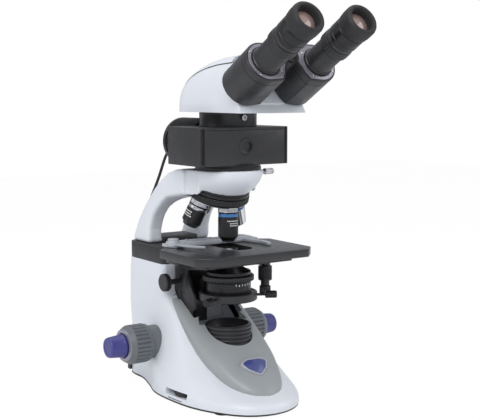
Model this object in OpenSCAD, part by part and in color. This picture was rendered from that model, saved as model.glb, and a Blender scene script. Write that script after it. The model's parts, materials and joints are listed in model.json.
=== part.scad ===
// Upright laboratory microscope with a binocular head, a filter block for
// fluorescence, a four-place nosepiece, a mechanical stage and a condenser.
// Millimetres, +Z up, the user sits at -Y. Most pieces are laid out about the
// optical axis, which stands axis_y behind the middle of the whole object.

/* [Base] */
// Widest part of the base
base_w = 138; // [126:1:150]
// Height of the vertical sides of the base
plinth_h = 31; // [26:1:36]
// Thickness of the cast walls
wall_t = 5; // [4:0.5:7]
// Height of the rubber feet
foot_h = 4; // [3:0.5:6]
// Radius of a rubber foot
foot_r = 9; // [6:0.5:12]
// Thickness of the bottom plate
plate_t = 2; // [1.5:0.5:3]
// Radius of the lamp hood
hood_r = 26; // [23:0.5:28]
// Height of the rim of the lamp hood above the table
hood_top = 82; // [78:1:86]

/* [Column and arm] */
// Width of the column
column_w = 92; // [84:1:100]
// Height of the top of the column
column_top = 142; // [138:1:146]
// Height of the dark collar on the column
collar_h = 19; // [14:1:22]
// Width of the upper arm
arm_w = 86; // [78:1:92]
// Width of the hand opening in the upper arm
grip_w = 50; // [40:1:56]

/* [Focus drive] */
// Height of the focus shaft
shaft_z = 54; // [50:1:58]
// Distance of the focus shaft behind the optical axis
shaft_y = 72; // [70:1:76]
// Radius of the coarse knobs
coarse_r = 22; // [18:0.5:25]
// Thickness of a coarse knob
coarse_t = 28; // [22:1:34]
// Radius of the fine knobs
fine_r = 13; // [9:0.5:15]
// Length of a fine knob
fine_t = 21; // [14:1:28]
// Radius of the hollow coarse shaft
coarse_shaft_r = 6; // [5:0.5:8]
// Radius of the fine shaft inside it
fine_shaft_r = 3; // [2:0.5:4]

/* [Stage] */
// Width of the stage plate
stage_w = 150; // [130:1:170]
// Height of the top of the stage
stage_z = 167; // [165:0.5:168]
// Thickness of the moving stage plate
stage_t = 9; // [7:0.5:10]
// Reach of the stage in front of the optical axis
stage_front = 64; // [56:1:72]
// Reach of the stage behind the optical axis
stage_back = 38; // [34:1:42]
// Thickness of the specimen holder
holder_t = 4.7; // [3:0.1:6]

/* [Condenser] */
// Radius of the condenser body
condenser_r = 25; // [21:0.5:25.5]
// Height of the middle of the condenser holder ring
condenser_z = 113; // [111:0.5:115]

/* [Nosepiece] */
// Tilt of the nosepiece axis
turret_tilt = 18; // [14:1:20]
// Radius of the ring of objective seats
seat_r = 21; // [19:0.5:23]
// Height of the seat of the objective in use
seat_z = 213; // [212:0.5:216]
// Radius of the nosepiece disc
turret_r = 34; // [32:0.5:36]
// Radius of an objective barrel
barrel_r = 11; // [9:0.5:11.5]

/* [Filter block] */
// Width of the filter block
block_w = 113; // [100:1:126]
// Depth of the filter block
block_d = 65; // [58:1:70]
// Height of the filter block
block_h = 40.5; // [36:0.5:46]
// Radius of the lamp house
lamp_r = 27; // [22:0.5:27.5]
// Length of the lamp house
lamp_l = 62; // [50:1:66]

/* [Head] */
// Height of the neck ring
neck_h = 15.5; // [12:0.5:18]
// Radius of the neck ring
neck_r = 31.3; // [29:0.1:34]
// Width of the head at the neck
head_w = 72; // [66:1:78]
// Upward tilt of the eyepieces
eye_tilt = 30; // [25:1:35]
// Half of the distance between the eyepieces
eye_half = 32; // [31:0.5:34]
// Radius of a prism housing
prism_r = 22; // [20:0.5:23]
// Length of a prism housing
prism_l = 49; // [44:1:54]
// Radius of an eyepiece tube
tube_r = 14.5; // [13.5:0.1:16]
// Radius of the rubber eyecup
cup_r = 17.5; // [16:0.5:20]

/* [Fits] */
// Radial clearance of a running fit
fit = 0.05; // [0.03:0.01:0.1]
// Gap between pieces that move past each other
gap = 0.3; // [0.2:0.05:0.5]

/* [Hidden] */
cap_t = 6.5;
$fn = 64;

// Head: the prism housings start at head_y, head_z on a slanted axis
head_y = -70.6;
eye_l = 128;
collar_z0 = prism_l + 29;
collar_z1 = collar_z0 + 11;
ring_z1 = collar_z1 + 5;
cup_z0 = eye_l - 16.6;

// Reach of the whole object before and behind the optical axis
front_reach = -head_y + eye_l * cos(eye_tilt) + cup_r * sin(eye_tilt);
back_reach = 148;
axis_y = (front_reach - back_reach) / 2;

// Levels
floor_z = foot_h + plate_t;
arm_z = column_top + collar_h;
bowl_top = 252;
block_z = bowl_top + 6;
neck_z = block_z + block_h;
head_z0 = neck_z + neck_h;
head_z = head_z0 + 26;
lamp_z = block_z + 21.5;
port_z = block_z + 20;

// Base
base_half = base_w / 2;
column_half = column_w / 2;
column_front = 64;
column_back = 146;
rear_y = 136;
plan_back = 148;
toe_y = -96;
knob_start = 64;
well_z = 40;
ledge_t = 2;
dimmer_x = -base_half + 20;
dimmer_y = 1;
dimmer_z = 9.5;
dimmer_pin_r = 2.5;
lens_r = 18;

// Focus drive: rack, pinion and slide
pinion_r = 8.7;
rack_half = 8;
slide_y0 = column_front - gap;
collar_r = 18.5;
knob_x0 = knob_start;
knob_x1 = knob_x0 + coarse_t;
fine_x0 = knob_x1 + 2;
fine_x1 = fine_x0 + fine_t - 2;

// Stage
stage_z0 = stage_z - stage_t;
rail_t = 6;
rail_z0 = stage_z0 - gap - rail_t;
carrier_t = 6;
slot_x = 3;
slot_y = 2;
slot_w = 30;
slot_l = 66;
holder_z0 = stage_z + gap;
holder_z1 = holder_z0 + holder_t;
pin_x = -51;
pin_y = 32;
pin_r = 2.5;
drive_x = 64.7;
drive_y = 20;
drive_z = 136;

// Condenser
ring_r = 32;
ring_t = 9;
iris_z0 = 130 + gap;
iris_r = 22;
condenser_pinion_r = 5;
cheek_x = 32;
cheek_y = 20;
cheek_z = 94;
recess_z = cheek_z - 20;
condenser_axis_y = 52;
condenser_knob_z = 124;

// Nosepiece
turret_y = seat_r * cos(turret_tilt);
turret_z = seat_z + seat_r * sin(turret_tilt);
turret_t = 9;
turret_base_t = 6.7;
bowl_r = 38;

// Route of the lamp lead behind the arm, from the gland to its plug
lead_r = 1.7;
lead_x = -10;
gland_y = 101;
gland_z = 268;
lead_route = [[gland_y, gland_z], [106, gland_z], [112, 266], [119, 258], [126, 246], [134, 233], [145, 218],
    [156, 203], [165, 187], [171, 170], [174, 152], [174, 134], [173, 116], [172, 98],
    [171, 80], [171, 64], [170, 54], [167, 46], [162, 42], [156, 42]];
lead_end = lead_route[len(lead_route) - 1];

// ---- helpers ----

module on_axis() translate([0, axis_y, 0]) children();

// An outline in Y and Z, drawn across X from -half to +half
module across(half, points)
    translate([-half, 0, 0]) rotate([90, 0, 90]) linear_extrude(2 * half) polygon(points);

// An outline in X and Z, drawn along Y from y0 to y1
module along(y0, y1, points)
    translate([0, y1, 0]) rotate([90, 0, 0]) linear_extrude(y1 - y0) polygon(points);

// Both sides of an outline that mirrors about X = 0, given for +X from front to back
function both(points) = concat(points,
    [for (i = [len(points) - 1 : -1 : 0]) [-points[i][0], points[i][1]]]);

module box(x0, x1, y0, y1, z0, z1) translate([x0, y0, z0]) cube([x1 - x0, y1 - y0, z1 - z0]);

module rod(r, z0, z1) translate([0, 0, z0]) cylinder(r = r, h = z1 - z0);

module pipe(r, bore, z0, z1) difference() {
    rod(r, z0, z1);
    rod(bore, z0 - 1, z1 + 1);
}

// A flat outline made a slab between two heights
module slab(z0, z1) translate([0, 0, z0]) linear_extrude(z1 - z0) children();

// A rod across X
module rod_x(r, x0, x1) translate([x0, 0, 0]) rotate([0, 90, 0]) cylinder(r = r, h = x1 - x0);

module on_shaft() translate([0, shaft_y, shaft_z]) children();

module turret_place() translate([0, turret_y, turret_z]) rotate([turret_tilt, 0, 0]) children();

module head_place() translate([0, head_y, head_z]) rotate([90 - eye_tilt, 0, 0]) children();

// A row of flutes cut round a rod
module flutes(n, r, cut, z0, z1) for (i = [0 : n - 1])
    rotate([0, 0, i * 360 / n]) translate([r, 0, z0]) cylinder(r = cut, h = z1 - z0, $fn = 6);

// ---- base ----

// Outline of the base seen from above, smaller by inset
module plan(inset, z0, z1) translate([0, 0, z0]) linear_extrude(z1 - z0)
    polygon(both([[14 - inset / 2, toe_y + inset], [29 - inset, toe_y + 9 + inset],
        [44 - inset, toe_y + 25 + inset], [56 - inset, -52], [base_half - 3 - inset, -20],
        [base_half - inset, 15], [base_half - inset, 42], [60 - inset, 72], [52 - inset, 100],
        [50 - inset, plan_back - 16], [38 - inset, plan_back - inset]]));

// Room in the base for the stage carrier and the condenser when they are low
module carrier_recess() {
    box(-cheek_x - 0.7, cheek_x + 0.7, cheek_y - 1.5, column_front, recess_z, column_top + 1);
    rod(ring_r + 1, hood_top - 1, column_top + 1);
}

// The whole solid form of base and column
module base_form(inset, z0) intersection() {
    plan(inset, z0, column_top + 1);
    across(base_half + 1, [[toe_y + inset, z0], [toe_y + 2 + inset, 10 - inset / 2],
        [-86, 17 - inset], [-71, 21 - inset],
        [-48, 31 - inset], [-29, 43 - 1.2 * inset], [-4, 58 - 1.2 * inset],
        [23, 77 - 1.2 * inset], [43 + inset, 93 - inset / 2], [57 + inset, 102],
        [column_front + inset, 110], [column_front + inset, column_top - inset], [column_back - inset, column_top - inset],
        [column_back + 1 - inset, 87], [column_back - 2 - inset, 63], [rear_y - inset, 52],
        [rear_y - inset, z0]]);
    along(toe_y - 1, 150, both([[base_half - inset, z0], [base_half - inset, 16 - inset / 2],
        [base_half - 5 - inset, plinth_h - inset / 2],
        [column_half + 12 - inset, 45], [column_half + 4 - inset, 62],
        [column_half - inset, 80], [column_half - inset, column_top - inset]]));
}

module base_shell() color("whitesmoke") on_axis() difference() {
    base_form(0, floor_z);
    difference() {
        base_form(wall_t, floor_z - 1);
        rod(hood_r + 5, well_z - wall_t, hood_top);
        on_shaft() rod_x(coarse_shaft_r + 6, 24, knob_x0);
        on_shaft() rod_x(coarse_shaft_r + 6, -knob_x0, -24);
    }
    rod(hood_r + gap, well_z, hood_top);
    on_shaft() rod_x(coarse_shaft_r + fit, -base_half - 1, base_half + 1);
    box(-rack_half - 0.5, rack_half + 0.5, 40, column_front + wall_t + 1, 62, column_top + 1);
    carrier_recess();
    box(-base_half - 1, -base_half + 3 * wall_t, dimmer_y - 19, dimmer_y + 19, dimmer_z - 1,
        dimmer_z + 6);
    translate([lead_x, 130, lead_end[1]]) rotate([-90, 0, 0]) cylinder(r = 4, h = 10);
    box(-32, 30, 125, rear_y + 1, 10, 24);
}

module base_cover() color("darkgray") on_axis() difference() {
    hull() for (s = [[-71, 20, 8, 3], [-60, 26, 23, 11], [-46, 33, 34, 14], [-28, 44, 40, 18],
        [0, 61, 43, 19], [24, 78, 43, 18], [44, 93, 42, 10],
        [62, 101, 40, 6]])
        translate([0, s[0], s[1]]) scale([s[2], 1, s[3]]) rotate([90, 0, 0])
            cylinder(r = 1, h = 1, $fn = 32);
    base_form(0, 0);
    box(-60, 60, column_front, 70, 60, 140);
    carrier_recess();
    rod(hood_r + gap, well_z, hood_top + 20);
    badge_form(2);
}

// The shield-shaped seat of the plain badge
module badge_form(sink) translate([0, -52, 41.5]) rotate([43, 0, 0]) translate([0, 0, -sink])
    linear_extrude(5) polygon([[-13, 10], [13, 10], [13, -3], [8, -10], [0, -13], [-8, -10],
        [-13, -3]]);

module badge_plate() color("slateblue") on_axis() intersection() {
    badge_form(2);
    translate([0, -52, 41.5]) rotate([43, 0, 0]) translate([-20, -20, -2]) cube([40, 40, 2.6]);
}

module lamp_hood() color("dimgray") on_axis() difference() {
    union() {
        rod(hood_r - 1.6, well_z, hood_top - 1);
        for (z = [well_z + 1, 52, 58, 64, 70, 76]) rod(hood_r, z, z + 3.4);
        rod(hood_r, hood_top - 3, hood_top);
    }
    rod(lens_r, well_z - 1, 54);
    rod(lens_r - ledge_t, 53, hood_top);
    rod(lens_r, 66, hood_top - 8);
    translate([0, 0, hood_top - 9]) cylinder(r1 = lens_r, r2 = hood_r - 3, h = 9.1);
}

module field_lens() color("lightcyan") on_axis() intersection() {
    rod(lens_r, 66, 76);
    translate([0, 0, 76 - 60]) sphere(r = 60, $fn = 128);
}

module lamp_board() color("darkgreen") on_axis() {
    rod(lens_r - 0.5, well_z, well_z + 5);
    rod(6, well_z + 5, well_z + 9);
}

// The bottom plate carries the pin of the dimmer wheel
module bottom_plate() color("dimgray") on_axis() {
    plan(2, foot_h, floor_z);
    translate([dimmer_x, dimmer_y, 0]) rod(dimmer_pin_r, floor_z - 0.1, dimmer_z + 4.5);
}

module rubber_feet() color("black") on_axis() for (x = [-1, 1], y = [-52, 118])
    translate([x * (y < 0 ? 42 : 36), y, 0]) difference() {
        cylinder(r = foot_r, h = foot_h);
        translate([0, 0, -1]) cylinder(r = foot_r / 3, h = 2);
    }

module rear_cover() color("darkgray") on_axis() difference() {
    intersection() {
        across(50, [[rear_y, floor_z], [rear_y, 28], [144, 27], [147, 22], [147, floor_z]]);
        linear_extrude(40) polygon([[-50, 130], [-50, 142], [-45, 147], [45, 147], [50, 142], [50, 130]]);
    }
    box(-32, 30, 130, 145, 10, 24);
    translate([20, 140, 17]) rotate([-90, 0, 0]) cylinder(r = 6, h = 10);
    box(-29.5, -10.5, 140, 148, 11.5, 22.5);
}

module power_inlet() color("black") on_axis() translate([20, 0, 17]) rotate([-90, 0, 0])
    difference() {
        union() {
            rod(5.8, 132, 147);
            rod(6.8, 142, 145);
        }
        rod(3, 136, 148);
    }

module power_switch() color("black") on_axis() translate([-20, 0, 0]) difference() {
    across(9, [[141, 12.5], [141, 21.5], [148.2, 21.5], [147.2, 17], [146.4, 12.5]]);
    translate([-10, 142.5, 17]) rotate([0, 90, 0]) cylinder(r = 1.2 + fit, h = 20);
}

module dimmer_wheel() color("dimgray") on_axis() translate([dimmer_x, dimmer_y, 0]) difference() {
    union() {
        rod(17.4, dimmer_z, dimmer_z + 5);
        rod(5, floor_z + gap, dimmer_z + 0.1);
    }
    rod(dimmer_pin_r + fit, 0, 22);
    flutes(36, 17.4, 0.8, dimmer_z - 1, dimmer_z + 6);
}

// ---- focus drive ----

module coarse_shaft() color("silver") on_axis() on_shaft() difference() {
    union() {
        rod_x(coarse_shaft_r, -knob_x1 + 4, knob_x1 - 4);
        rod_x(pinion_r, -rack_half, rack_half);
    }
    rod_x(fine_shaft_r + fit, -120, 120);
    for (i = [0 : 17]) rotate([i * 20, 0, 0]) translate([0, pinion_r + 0.2, 0])
        rod_x(0.9, -rack_half - 1, rack_half + 1);
}

module coarse_knobs() color("gray") on_axis() on_shaft() for (m = [0, 1]) mirror([m, 0, 0])
    difference() {
        union() {
            rod_x(coarse_r - 1, knob_x0 + gap, knob_x1);
            rod_x(coarse_r, knob_x0 + 3, knob_x1 - 5);
            rod_x(coarse_r - 3, knob_x1 - 0.1, knob_x1 + 1.5);
        }
        rod_x(coarse_shaft_r, 0, knob_x1 - 4);
        rod_x(fine_shaft_r + 0.5, 0, 120);
        rotate([0, 90, 0]) flutes(40, coarse_r + 0.5, 1.2, knob_x0 + 5, knob_x1 - 7);
    }

// Both fine knobs and the shaft that joins them
module fine_knobs() color("slateblue") on_axis() on_shaft() {
    rod_x(fine_shaft_r, -fine_x0 - 1, fine_x0 + 1);
    for (m = [0, 1]) mirror([m, 0, 0]) difference() {
        translate([fine_x0, 0, 0]) rotate([0, 90, 0])
            cylinder(r1 = fine_r, r2 = fine_r - 2, h = fine_x1 - fine_x0);
        rotate([0, 90, 0]) flutes(24, fine_r + 0.1, 0.9, fine_x0 + 4, fine_x1 + 1);
    }
}

// Still rings between the column and the knobs, which carry the hollow shaft
module shaft_collars() color("gray") on_axis() on_shaft() for (m = [0, 1]) mirror([m, 0, 0])
    difference() {
        rod_x(collar_r, column_half + 1, knob_x0);
        rod_x(coarse_shaft_r + fit, 0, 120);
        translate([0, -shaft_y, -shaft_z]) base_form(0, floor_z);
    }

// ---- column top and arm ----

module arm_collar() color("dimgray") on_axis() difference() {
    slab(column_top, arm_z) polygon(both([[column_half - 6, column_front],
        [column_half, column_front + 6], [column_half, column_back - 10],
        [column_half - 10, column_back]]));
    box(-rack_half - 2, rack_half + 2, column_front - 1, column_front + 16, 100, arm_z - 6);
}

module upper_arm() color("whitesmoke") on_axis() difference() {
    union() {
        across(arm_w / 2, [[144, arm_z], [140, 168], [133.5, 179], [126, 192], [114, 205],
            [90, 227], [61, 247], [35, bowl_top], [0, bowl_top], [0, 226], [30, 222],
            [65, 217], [75, 213], [93, 196], [102, 179], [102, arm_z]]);
        translate([0, 0, 224]) cylinder(r1 = bowl_r - 7, r2 = bowl_r, h = bowl_top - 224);
    }
    box(-grip_w / 2, grip_w / 2, 60, 160, 172, 217);
    turret_place() rod(turret_r + 4, -80, turret_t + turret_base_t);
    rod(14, 200, 300);
    translate([0, 0, 247.5]) rod_x(1.5 + fit, 20, 60);
    box(bowl_r - 1, arm_w, -20, 20, 240, bowl_top + 1);
    for (x = [-bowl_r - 20, bowl_r]) box(x, x + 20, -40, 28, 200, bowl_top + 1);
}

// ---- nosepiece ----

module turret_base() color("dimgray") on_axis() turret_place() difference() {
    union() {
        rod(turret_r - 1, turret_t + gap, turret_t + turret_base_t);
        rod(5, -2, turret_t + 1);
    }
    translate([0, -seat_r, 0]) rotate([-turret_tilt, 0, 0]) rod(12, -20, 60);
}

module turret_disc() color("silver") on_axis() turret_place() difference() {
    union() {
        rod(turret_r, 3, turret_t);
        cylinder(r1 = turret_r - 3, r2 = turret_r, h = 3.01);
    }
    for (i = [0 : 3]) rotate([0, 0, 90 * i]) translate([0, -seat_r, 0])
        rotate([-turret_tilt, 0, 0]) {
            rod(8, -20, 40);
            rod(barrel_r + 0.4, -20, 0);
        }
    rod(5 + fit, -3, turret_t + 1);
    flutes(40, turret_r + 0.3, 0.9, 2, turret_t + 1);
}

// An objective that hangs from a seat, as long as length
module objective(i, length, tip) on_axis() turret_place() rotate([0, 0, 90 * i])
    translate([0, -seat_r, 0]) rotate([-turret_tilt, 0, 0]) difference() {
        union() {
            rod(8, -1, 4);
            rod(barrel_r, -8, 0);
            rod(barrel_r - 0.8, -14, -8);
            rod(barrel_r, length * -0.72, -14);
            translate([0, 0, -length + 3]) cylinder(r1 = tip + 1, r2 = barrel_r - 1.5,
                h = length * 0.28 - 2.99);
            rod(tip, -length, -length + 3.1);
        }
        rod(5, length * -0.6, 5);
        rod(tip * 0.6, -length - 1, 0);
    }

module objective_front() color("dimgray") objective(0, seat_z - holder_z1 - 0.8, 5);
module objective_right() color("silver") objective(1, 38, 4);
module objective_back() color("dimgray") objective(2, 30, 7);
module objective_left() color("dimgray") objective(3, 33, 6);

// ---- filter block ----

module mount_ring() color("dimgray") on_axis() difference() {
    pipe(36, 14, bowl_top, block_z);
    box(-40, 40, block_d / 2, 50, 250, 260);
}

module clamp_screw() color("silver") on_axis() translate([0, 0, 247.5]) {
    rod_x(1.5, 26, 49);
    difference() {
        rod_x(3.6, 48, 60);
        rotate([0, 90, 0]) flutes(16, 3.8, 0.5, 50, 61);
    }
}

module filter_housing() color("dimgray") on_axis() difference() {
    box(-block_w / 2 + cap_t, block_w / 2 - cap_t / 2, -block_d / 2, block_d / 2, block_z, neck_z);
    box(-block_w / 2 + cap_t - 1, block_w / 2 - cap_t / 2 + 1, -block_d / 2 + 4, block_d / 2 - 4,
        block_z + 4, neck_z - 3);
    rod(14, block_z - 1, neck_z + 1);
    translate([1, -block_d / 2 + 2.5, port_z]) rotate([90, 0, 0]) cylinder(r = 8.8, h = 9);
    translate([0, 20, lamp_z]) rotate([-90, 0, 0]) cylinder(r = 12, h = 20);
}

module end_caps() color("black") on_axis() {
    box(-block_w / 2, -block_w / 2 + cap_t, -block_d / 2, block_d / 2, block_z, neck_z);
    box(block_w / 2 - cap_t / 2, block_w / 2, -block_d / 2, block_d / 2, block_z, neck_z);
}

module port_plug() color("black") on_axis() translate([1, -block_d / 2 + 2.5, port_z])
    rotate([90, 0, 0]) difference() {
        rod(8.7, 0, 3);
        translate([2, 0, 1.5]) cylinder(r = 5, h = 3);
    }

module filter_cube() color("gray") on_axis() difference() {
    box(-16, 16, -16, 16, block_z + 4, block_z + 34);
    rod(12, 250, 310);
    translate([0, 0, lamp_z]) rotate([-90, 0, 0]) cylinder(r = 11, h = 30);
}

// Finned lamp house with the gland of its lead
module lamp_house() color("dimgray") on_axis() {
    translate([0, block_d / 2, lamp_z]) rotate([-90, 0, 0]) difference() {
        union() {
            rod(lamp_r - 5, 0, lamp_l);
            rod(lamp_r - 2, 0, 6);
            for (y = [10 : 6 : lamp_l - 8]) rod(lamp_r, y, y + 2.6);
            rod(lamp_r, lamp_l - 6, lamp_l);
        }
        rod(lamp_r - 9, -1, lamp_l - 5);
    }
    translate([lead_x, 0, gland_z]) rotate([-90, 0, 0]) {
        rod(4.6, block_d / 2 + lamp_l - 1, gland_y - 3);
        rod(3.4, gland_y - 3.01, gland_y);
    }
}

// Direction of the lead's route at one of its points, as an angle from +Y
function heading(i) = let (a = lead_route[max(i - 1, 0)],
    b = lead_route[min(i + 1, len(lead_route) - 1)]) atan2(b[1] - a[1], b[0] - a[0]);

module lamp_lead() color("black") on_axis() polyhedron(
    points = [for (i = [0 : len(lead_route) - 1], k = [0 : 7]) let (h = heading(i),
        c = cos(k * 45) * lead_r, s = sin(k * 45) * lead_r)
        [lead_x + c, lead_route[i][0] - s * sin(h), lead_route[i][1] + s * cos(h)]],
    faces = concat([[for (k = [0 : 7]) k]],
        [for (i = [0 : len(lead_route) - 2], k = [0 : 7])
            [i * 8 + k, (i + 1) * 8 + k, (i + 1) * 8 + (k + 1) % 8, i * 8 + (k + 1) % 8]],
        [[for (k = [7 : -1 : 0]) (len(lead_route) - 1) * 8 + k]]));

module lead_plug() color("black") on_axis() translate([lead_x, 0, lead_end[1]])
    rotate([-90, 0, 0]) {
        rod(3.9, 131, 138);
        rod(5.5, rear_y, 146);
        translate([0, 0, 146]) cylinder(r1 = 4, r2 = 2.4, h = lead_end[0] - 146);
    }

// ---- head ----

module neck_ring() color("dimgray") on_axis() difference() {
    pipe(neck_r, 24 + fit, neck_z, head_z0 - gap);
    translate([-2, -20, neck_z + 10]) rotate([90, 0, 0]) cylinder(r = 2 + fit, h = 20);
}

module neck_screw() color("silver") on_axis() translate([-2, 0, neck_z + 10])
    rotate([90, 0, 0]) difference() {
        union() {
            rod(2, 25, neck_r + 0.5);
            rod(3.2, neck_r + 0.4, neck_r + 4);
        }
        translate([0, 0, neck_r + 2]) cylinder(r = 1.5, h = 3, $fn = 6);
    }

// Side outline of the head with its top lowered by drop
module head_form(drop) difference() {
    intersection() {
        across(60, [[-95, head_z0], [52, head_z0], [51 - drop / 2, head_z0 + 4],
            [41 - drop, head_z0 + 18 - drop / 2], [23 - drop / 2, head_z0 + 30 - drop],
            [1, head_z0 + 40 - drop], [-23, head_z0 + 49 - drop], [-45, head_z0 + 50 - drop],
            [-60, head_z0 + 52 - drop], [-95, head_z0 + 52 - drop]]);
        slab(head_z0, head_z0 + 60) polygon(both([[38, -110], [40, -60],
            [head_w / 2, -34], [head_w / 2, 36], [31, 45], [20, 50], [8, 52]]));
    }
    head_place() box(-80, 80, -90, 90, -1.5, 100);
}

module head_base() color("whitesmoke") on_axis() difference() {
    union() {
        head_form(8);
        rod(24, neck_z + 2, head_z0 + 1);
        head_place() translate([0, 0, -6]) linear_extrude(6) polygon(both([[26, -20], [40, -8],
            [40, 10], [26, 20]]));
    }
    rod(14, 290, head_z0 + 16);
    head_place() for (x = [-1, 1]) translate([x * 18, 0, 0]) rod(9, -20, 5);
    head_place() translate([0, 8, 0]) rod(5, -12, 5);
}

module head_roof() color("white") on_axis() difference() {
    head_form(0);
    head_form(8);
    head_place() box(-80, 80, -90, 90, -6, 100);
}

// The pin on which both prism housings turn, with its domed cap
module hinge_pin() color("dimgray") on_axis() head_place() translate([0, 8, 0]) {
    rod(5, -12, prism_l + gap);
    translate([0, 0, prism_l + gap]) cylinder(r1 = 8, r2 = 5, h = 4);
}

// The housing on the left, and mirrored on the right, with its hinge knuckle
module prism_housing(side) on_axis() head_place() difference() {
    union() {
        translate([0, 0, gap]) linear_extrude(prism_l - gap) union() {
            translate([side * eye_half, 0]) circle(r = prism_r);
            polygon([[side * 3.5, 8], [side * 8, 21], [side * eye_half, prism_r],
                [side * eye_half, -prism_r], [side * 16, -20]]);
        }
        translate([0, 8, 0]) rod(10, side < 0 ? gap : prism_l / 2 + gap / 2,
            side < 0 ? prism_l / 2 - gap / 2 : prism_l);
    }
    translate([0, 8, 0]) rod(10.4, side < 0 ? prism_l / 2 - gap / 2 : -1,
        side < 0 ? prism_l + 1 : prism_l / 2 + gap / 2);
    translate([0, 8, 0]) rod(5 + fit, -1, 80);
    translate([side * eye_half, 0, 0]) rod(12, 6, prism_l + 1);
    translate([side * 20, 0, 0]) rod(6, -1, 12);
}

module left_prism_housing() color("dimgray") prism_housing(-1);
module right_prism_housing() color("dimgray") prism_housing(1);

module eye_tube(side) on_axis() head_place() translate([side * eye_half, 0, 0]) difference() {
    union() {
        rod(tube_r, prism_l, collar_z0 - gap);
        rod(tube_r - 1.8, prism_l, ring_z1);
        rod(tube_r + 1.5, collar_z1 + gap, ring_z1);
    }
    rod(11.6 + fit, prism_l - 1, ring_z1 + 1);
}

module left_eye_tube() color("black") eye_tube(-1);
module right_eye_tube() color("black") eye_tube(1);

module diopter_ring(side) on_axis() head_place() translate([side * eye_half, 0, 0]) difference() {
    pipe(tube_r + 2, tube_r - 1.8 + fit, collar_z0, collar_z1);
    flutes(36, tube_r + 2.2, 0.8, collar_z0 + 2, collar_z1 - 2);
}

module diopter_ring_left() color("gray") diopter_ring(-1);
module diopter_ring_right() color("gray") diopter_ring(1);

module eyepiece(side) on_axis() head_place() translate([side * eye_half, 0, 0]) difference() {
    union() {
        rod(11.6, prism_l + 14, ring_z1 + 1);
        rod(tube_r + 2, ring_z1 + gap, cup_z0);
        rod(tube_r - 1, cup_z0 - 1, cup_z0 + 7);
    }
    rod(9.5, prism_l + 10, cup_z0);
    translate([0, 0, cup_z0 + 7 + 22]) sphere(r = 24, $fn = 96);
}

module left_eyepiece() color("dimgray") eyepiece(-1);
module right_eyepiece() color("dimgray") eyepiece(1);

module eyecup(side) on_axis() head_place() translate([side * eye_half, 0, 0]) difference() {
    union() {
        rod(cup_r - 0.6, cup_z0, eye_l);
        rod(cup_r, cup_z0 + 5, eye_l);
    }
    rod(tube_r - 1, cup_z0 - 1, cup_z0 + 7.5);
    translate([0, 0, cup_z0 + 7]) cylinder(r1 = tube_r - 3, r2 = cup_r - 3, h = eye_l - cup_z0 - 6.9);
}

module left_eyecup() color("black") eyecup(-1);
module right_eyecup() color("black") eyecup(1);

// ---- stage ----

// Stage carrier: slides on the column, holds the stage and guides the condenser
module stage_carrier() color("black") on_axis() difference() {
    union() {
        box(-cheek_x, cheek_x, 46, slide_y0, 96, rail_z0);
        box(-rack_half, rack_half, slide_y0 - 1, shaft_y - pinion_r - gap - 3, 96, 134);
        box(-rack_half, rack_half, 55, shaft_y - pinion_r - gap, 36, 97);
        for (x = [-1, 1]) translate([x * (cheek_x - 3), 0, 0]) across(3, [[47, cheek_z + 2],
            [cheek_y + 6, cheek_z], [cheek_y, cheek_z + 2], [cheek_y, 112], [34, 130], [34, 140], [-20, rail_z0 - 5], [-20, rail_z0],
            [47, rail_z0]]);
        box(-50, 50, 24, 50, rail_z0 - carrier_t, rail_z0);
    }
    box(-20, 20, -30, 40, rail_z0 - carrier_t - 1, rail_z0 + 1);
    rod(31, rail_z0 - carrier_t - 1, rail_z0 + 1);
    box(-15.3, 15.3, 40, condenser_axis_y - condenser_pinion_r + gap, 90, 144);
    translate([0, condenser_axis_y, condenser_knob_z]) rod_x(3 + fit, -60, -7.6);
    translate([0, condenser_axis_y, condenser_knob_z]) rod_x(condenser_pinion_r + gap, -13, -7.5);
}

module slot_cut(z0, z1) translate([slot_x, slot_y, 0]) {
    box(-slot_w / 2, slot_w / 2, -slot_l / 2 + slot_w / 2, slot_l / 2 - slot_w / 2, z0, z1);
    for (m = [-1, 1]) translate([0, m * (slot_l - slot_w) / 2, 0]) rod(slot_w / 2, z0, z1);
}

module stage_rails() color("black") on_axis() difference() {
    box(-57, 56, -stage_front + 22, stage_back, rail_z0, rail_z0 + rail_t);
    slot_cut(rail_z0 - 1, stage_z);
}

module stage_plate() color("dimgray") on_axis() difference() {
    union() {
        slab(stage_z0, stage_z) polygon([[stage_w / 2 - 13, -stage_front],
            [stage_w / 2, -stage_front + 13], [stage_w / 2, 25], [55, stage_back],
            [-57, stage_back], [-stage_w / 2, stage_back - 18], [-stage_w / 2, -stage_front + 13],
            [-stage_w / 2 + 13, -stage_front]]);
        translate([drive_x, drive_y, 0]) rod(6, drive_z + 1 + gap, stage_z0 + 1);
        translate([drive_x, drive_y, 0]) rod(3, 121, stage_z0);
    }
    slot_cut(stage_z0 - 1, stage_z + 1);
    translate([drive_x, drive_y, 0]) rod(1.5 + fit, 100, stage_z0 - 2);
}

// The holder's bar and its still finger on the right
module slide_holder() color("silver") on_axis() {
    difference() {
        union() {
            slab(holder_z0, holder_z1 - 1.5) polygon([[-60, 26], [-54, 20], [55, 20],
                [55, 42], [-60, 42]]);
            slab(holder_z0, holder_z1 - 1.5) polygon([[43, 21], [47, -4], [44, -20],
                [40, -22], [39, -20], [41, -4], [34, 21]]);
            box(-38, 50, 26, 42, holder_z1 - 1.51, holder_z1);
        }
        box(-62, -38, 19, 43, holder_z1 - 3, holder_z1 + 1);
    }
    box(-50, 50, stage_back + gap, 42, stage_z0 + 1, holder_z0 + 1);
    translate([pin_x, pin_y, 0]) rod(pin_r, holder_z0 + 1, holder_z1 + 4);
}

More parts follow.
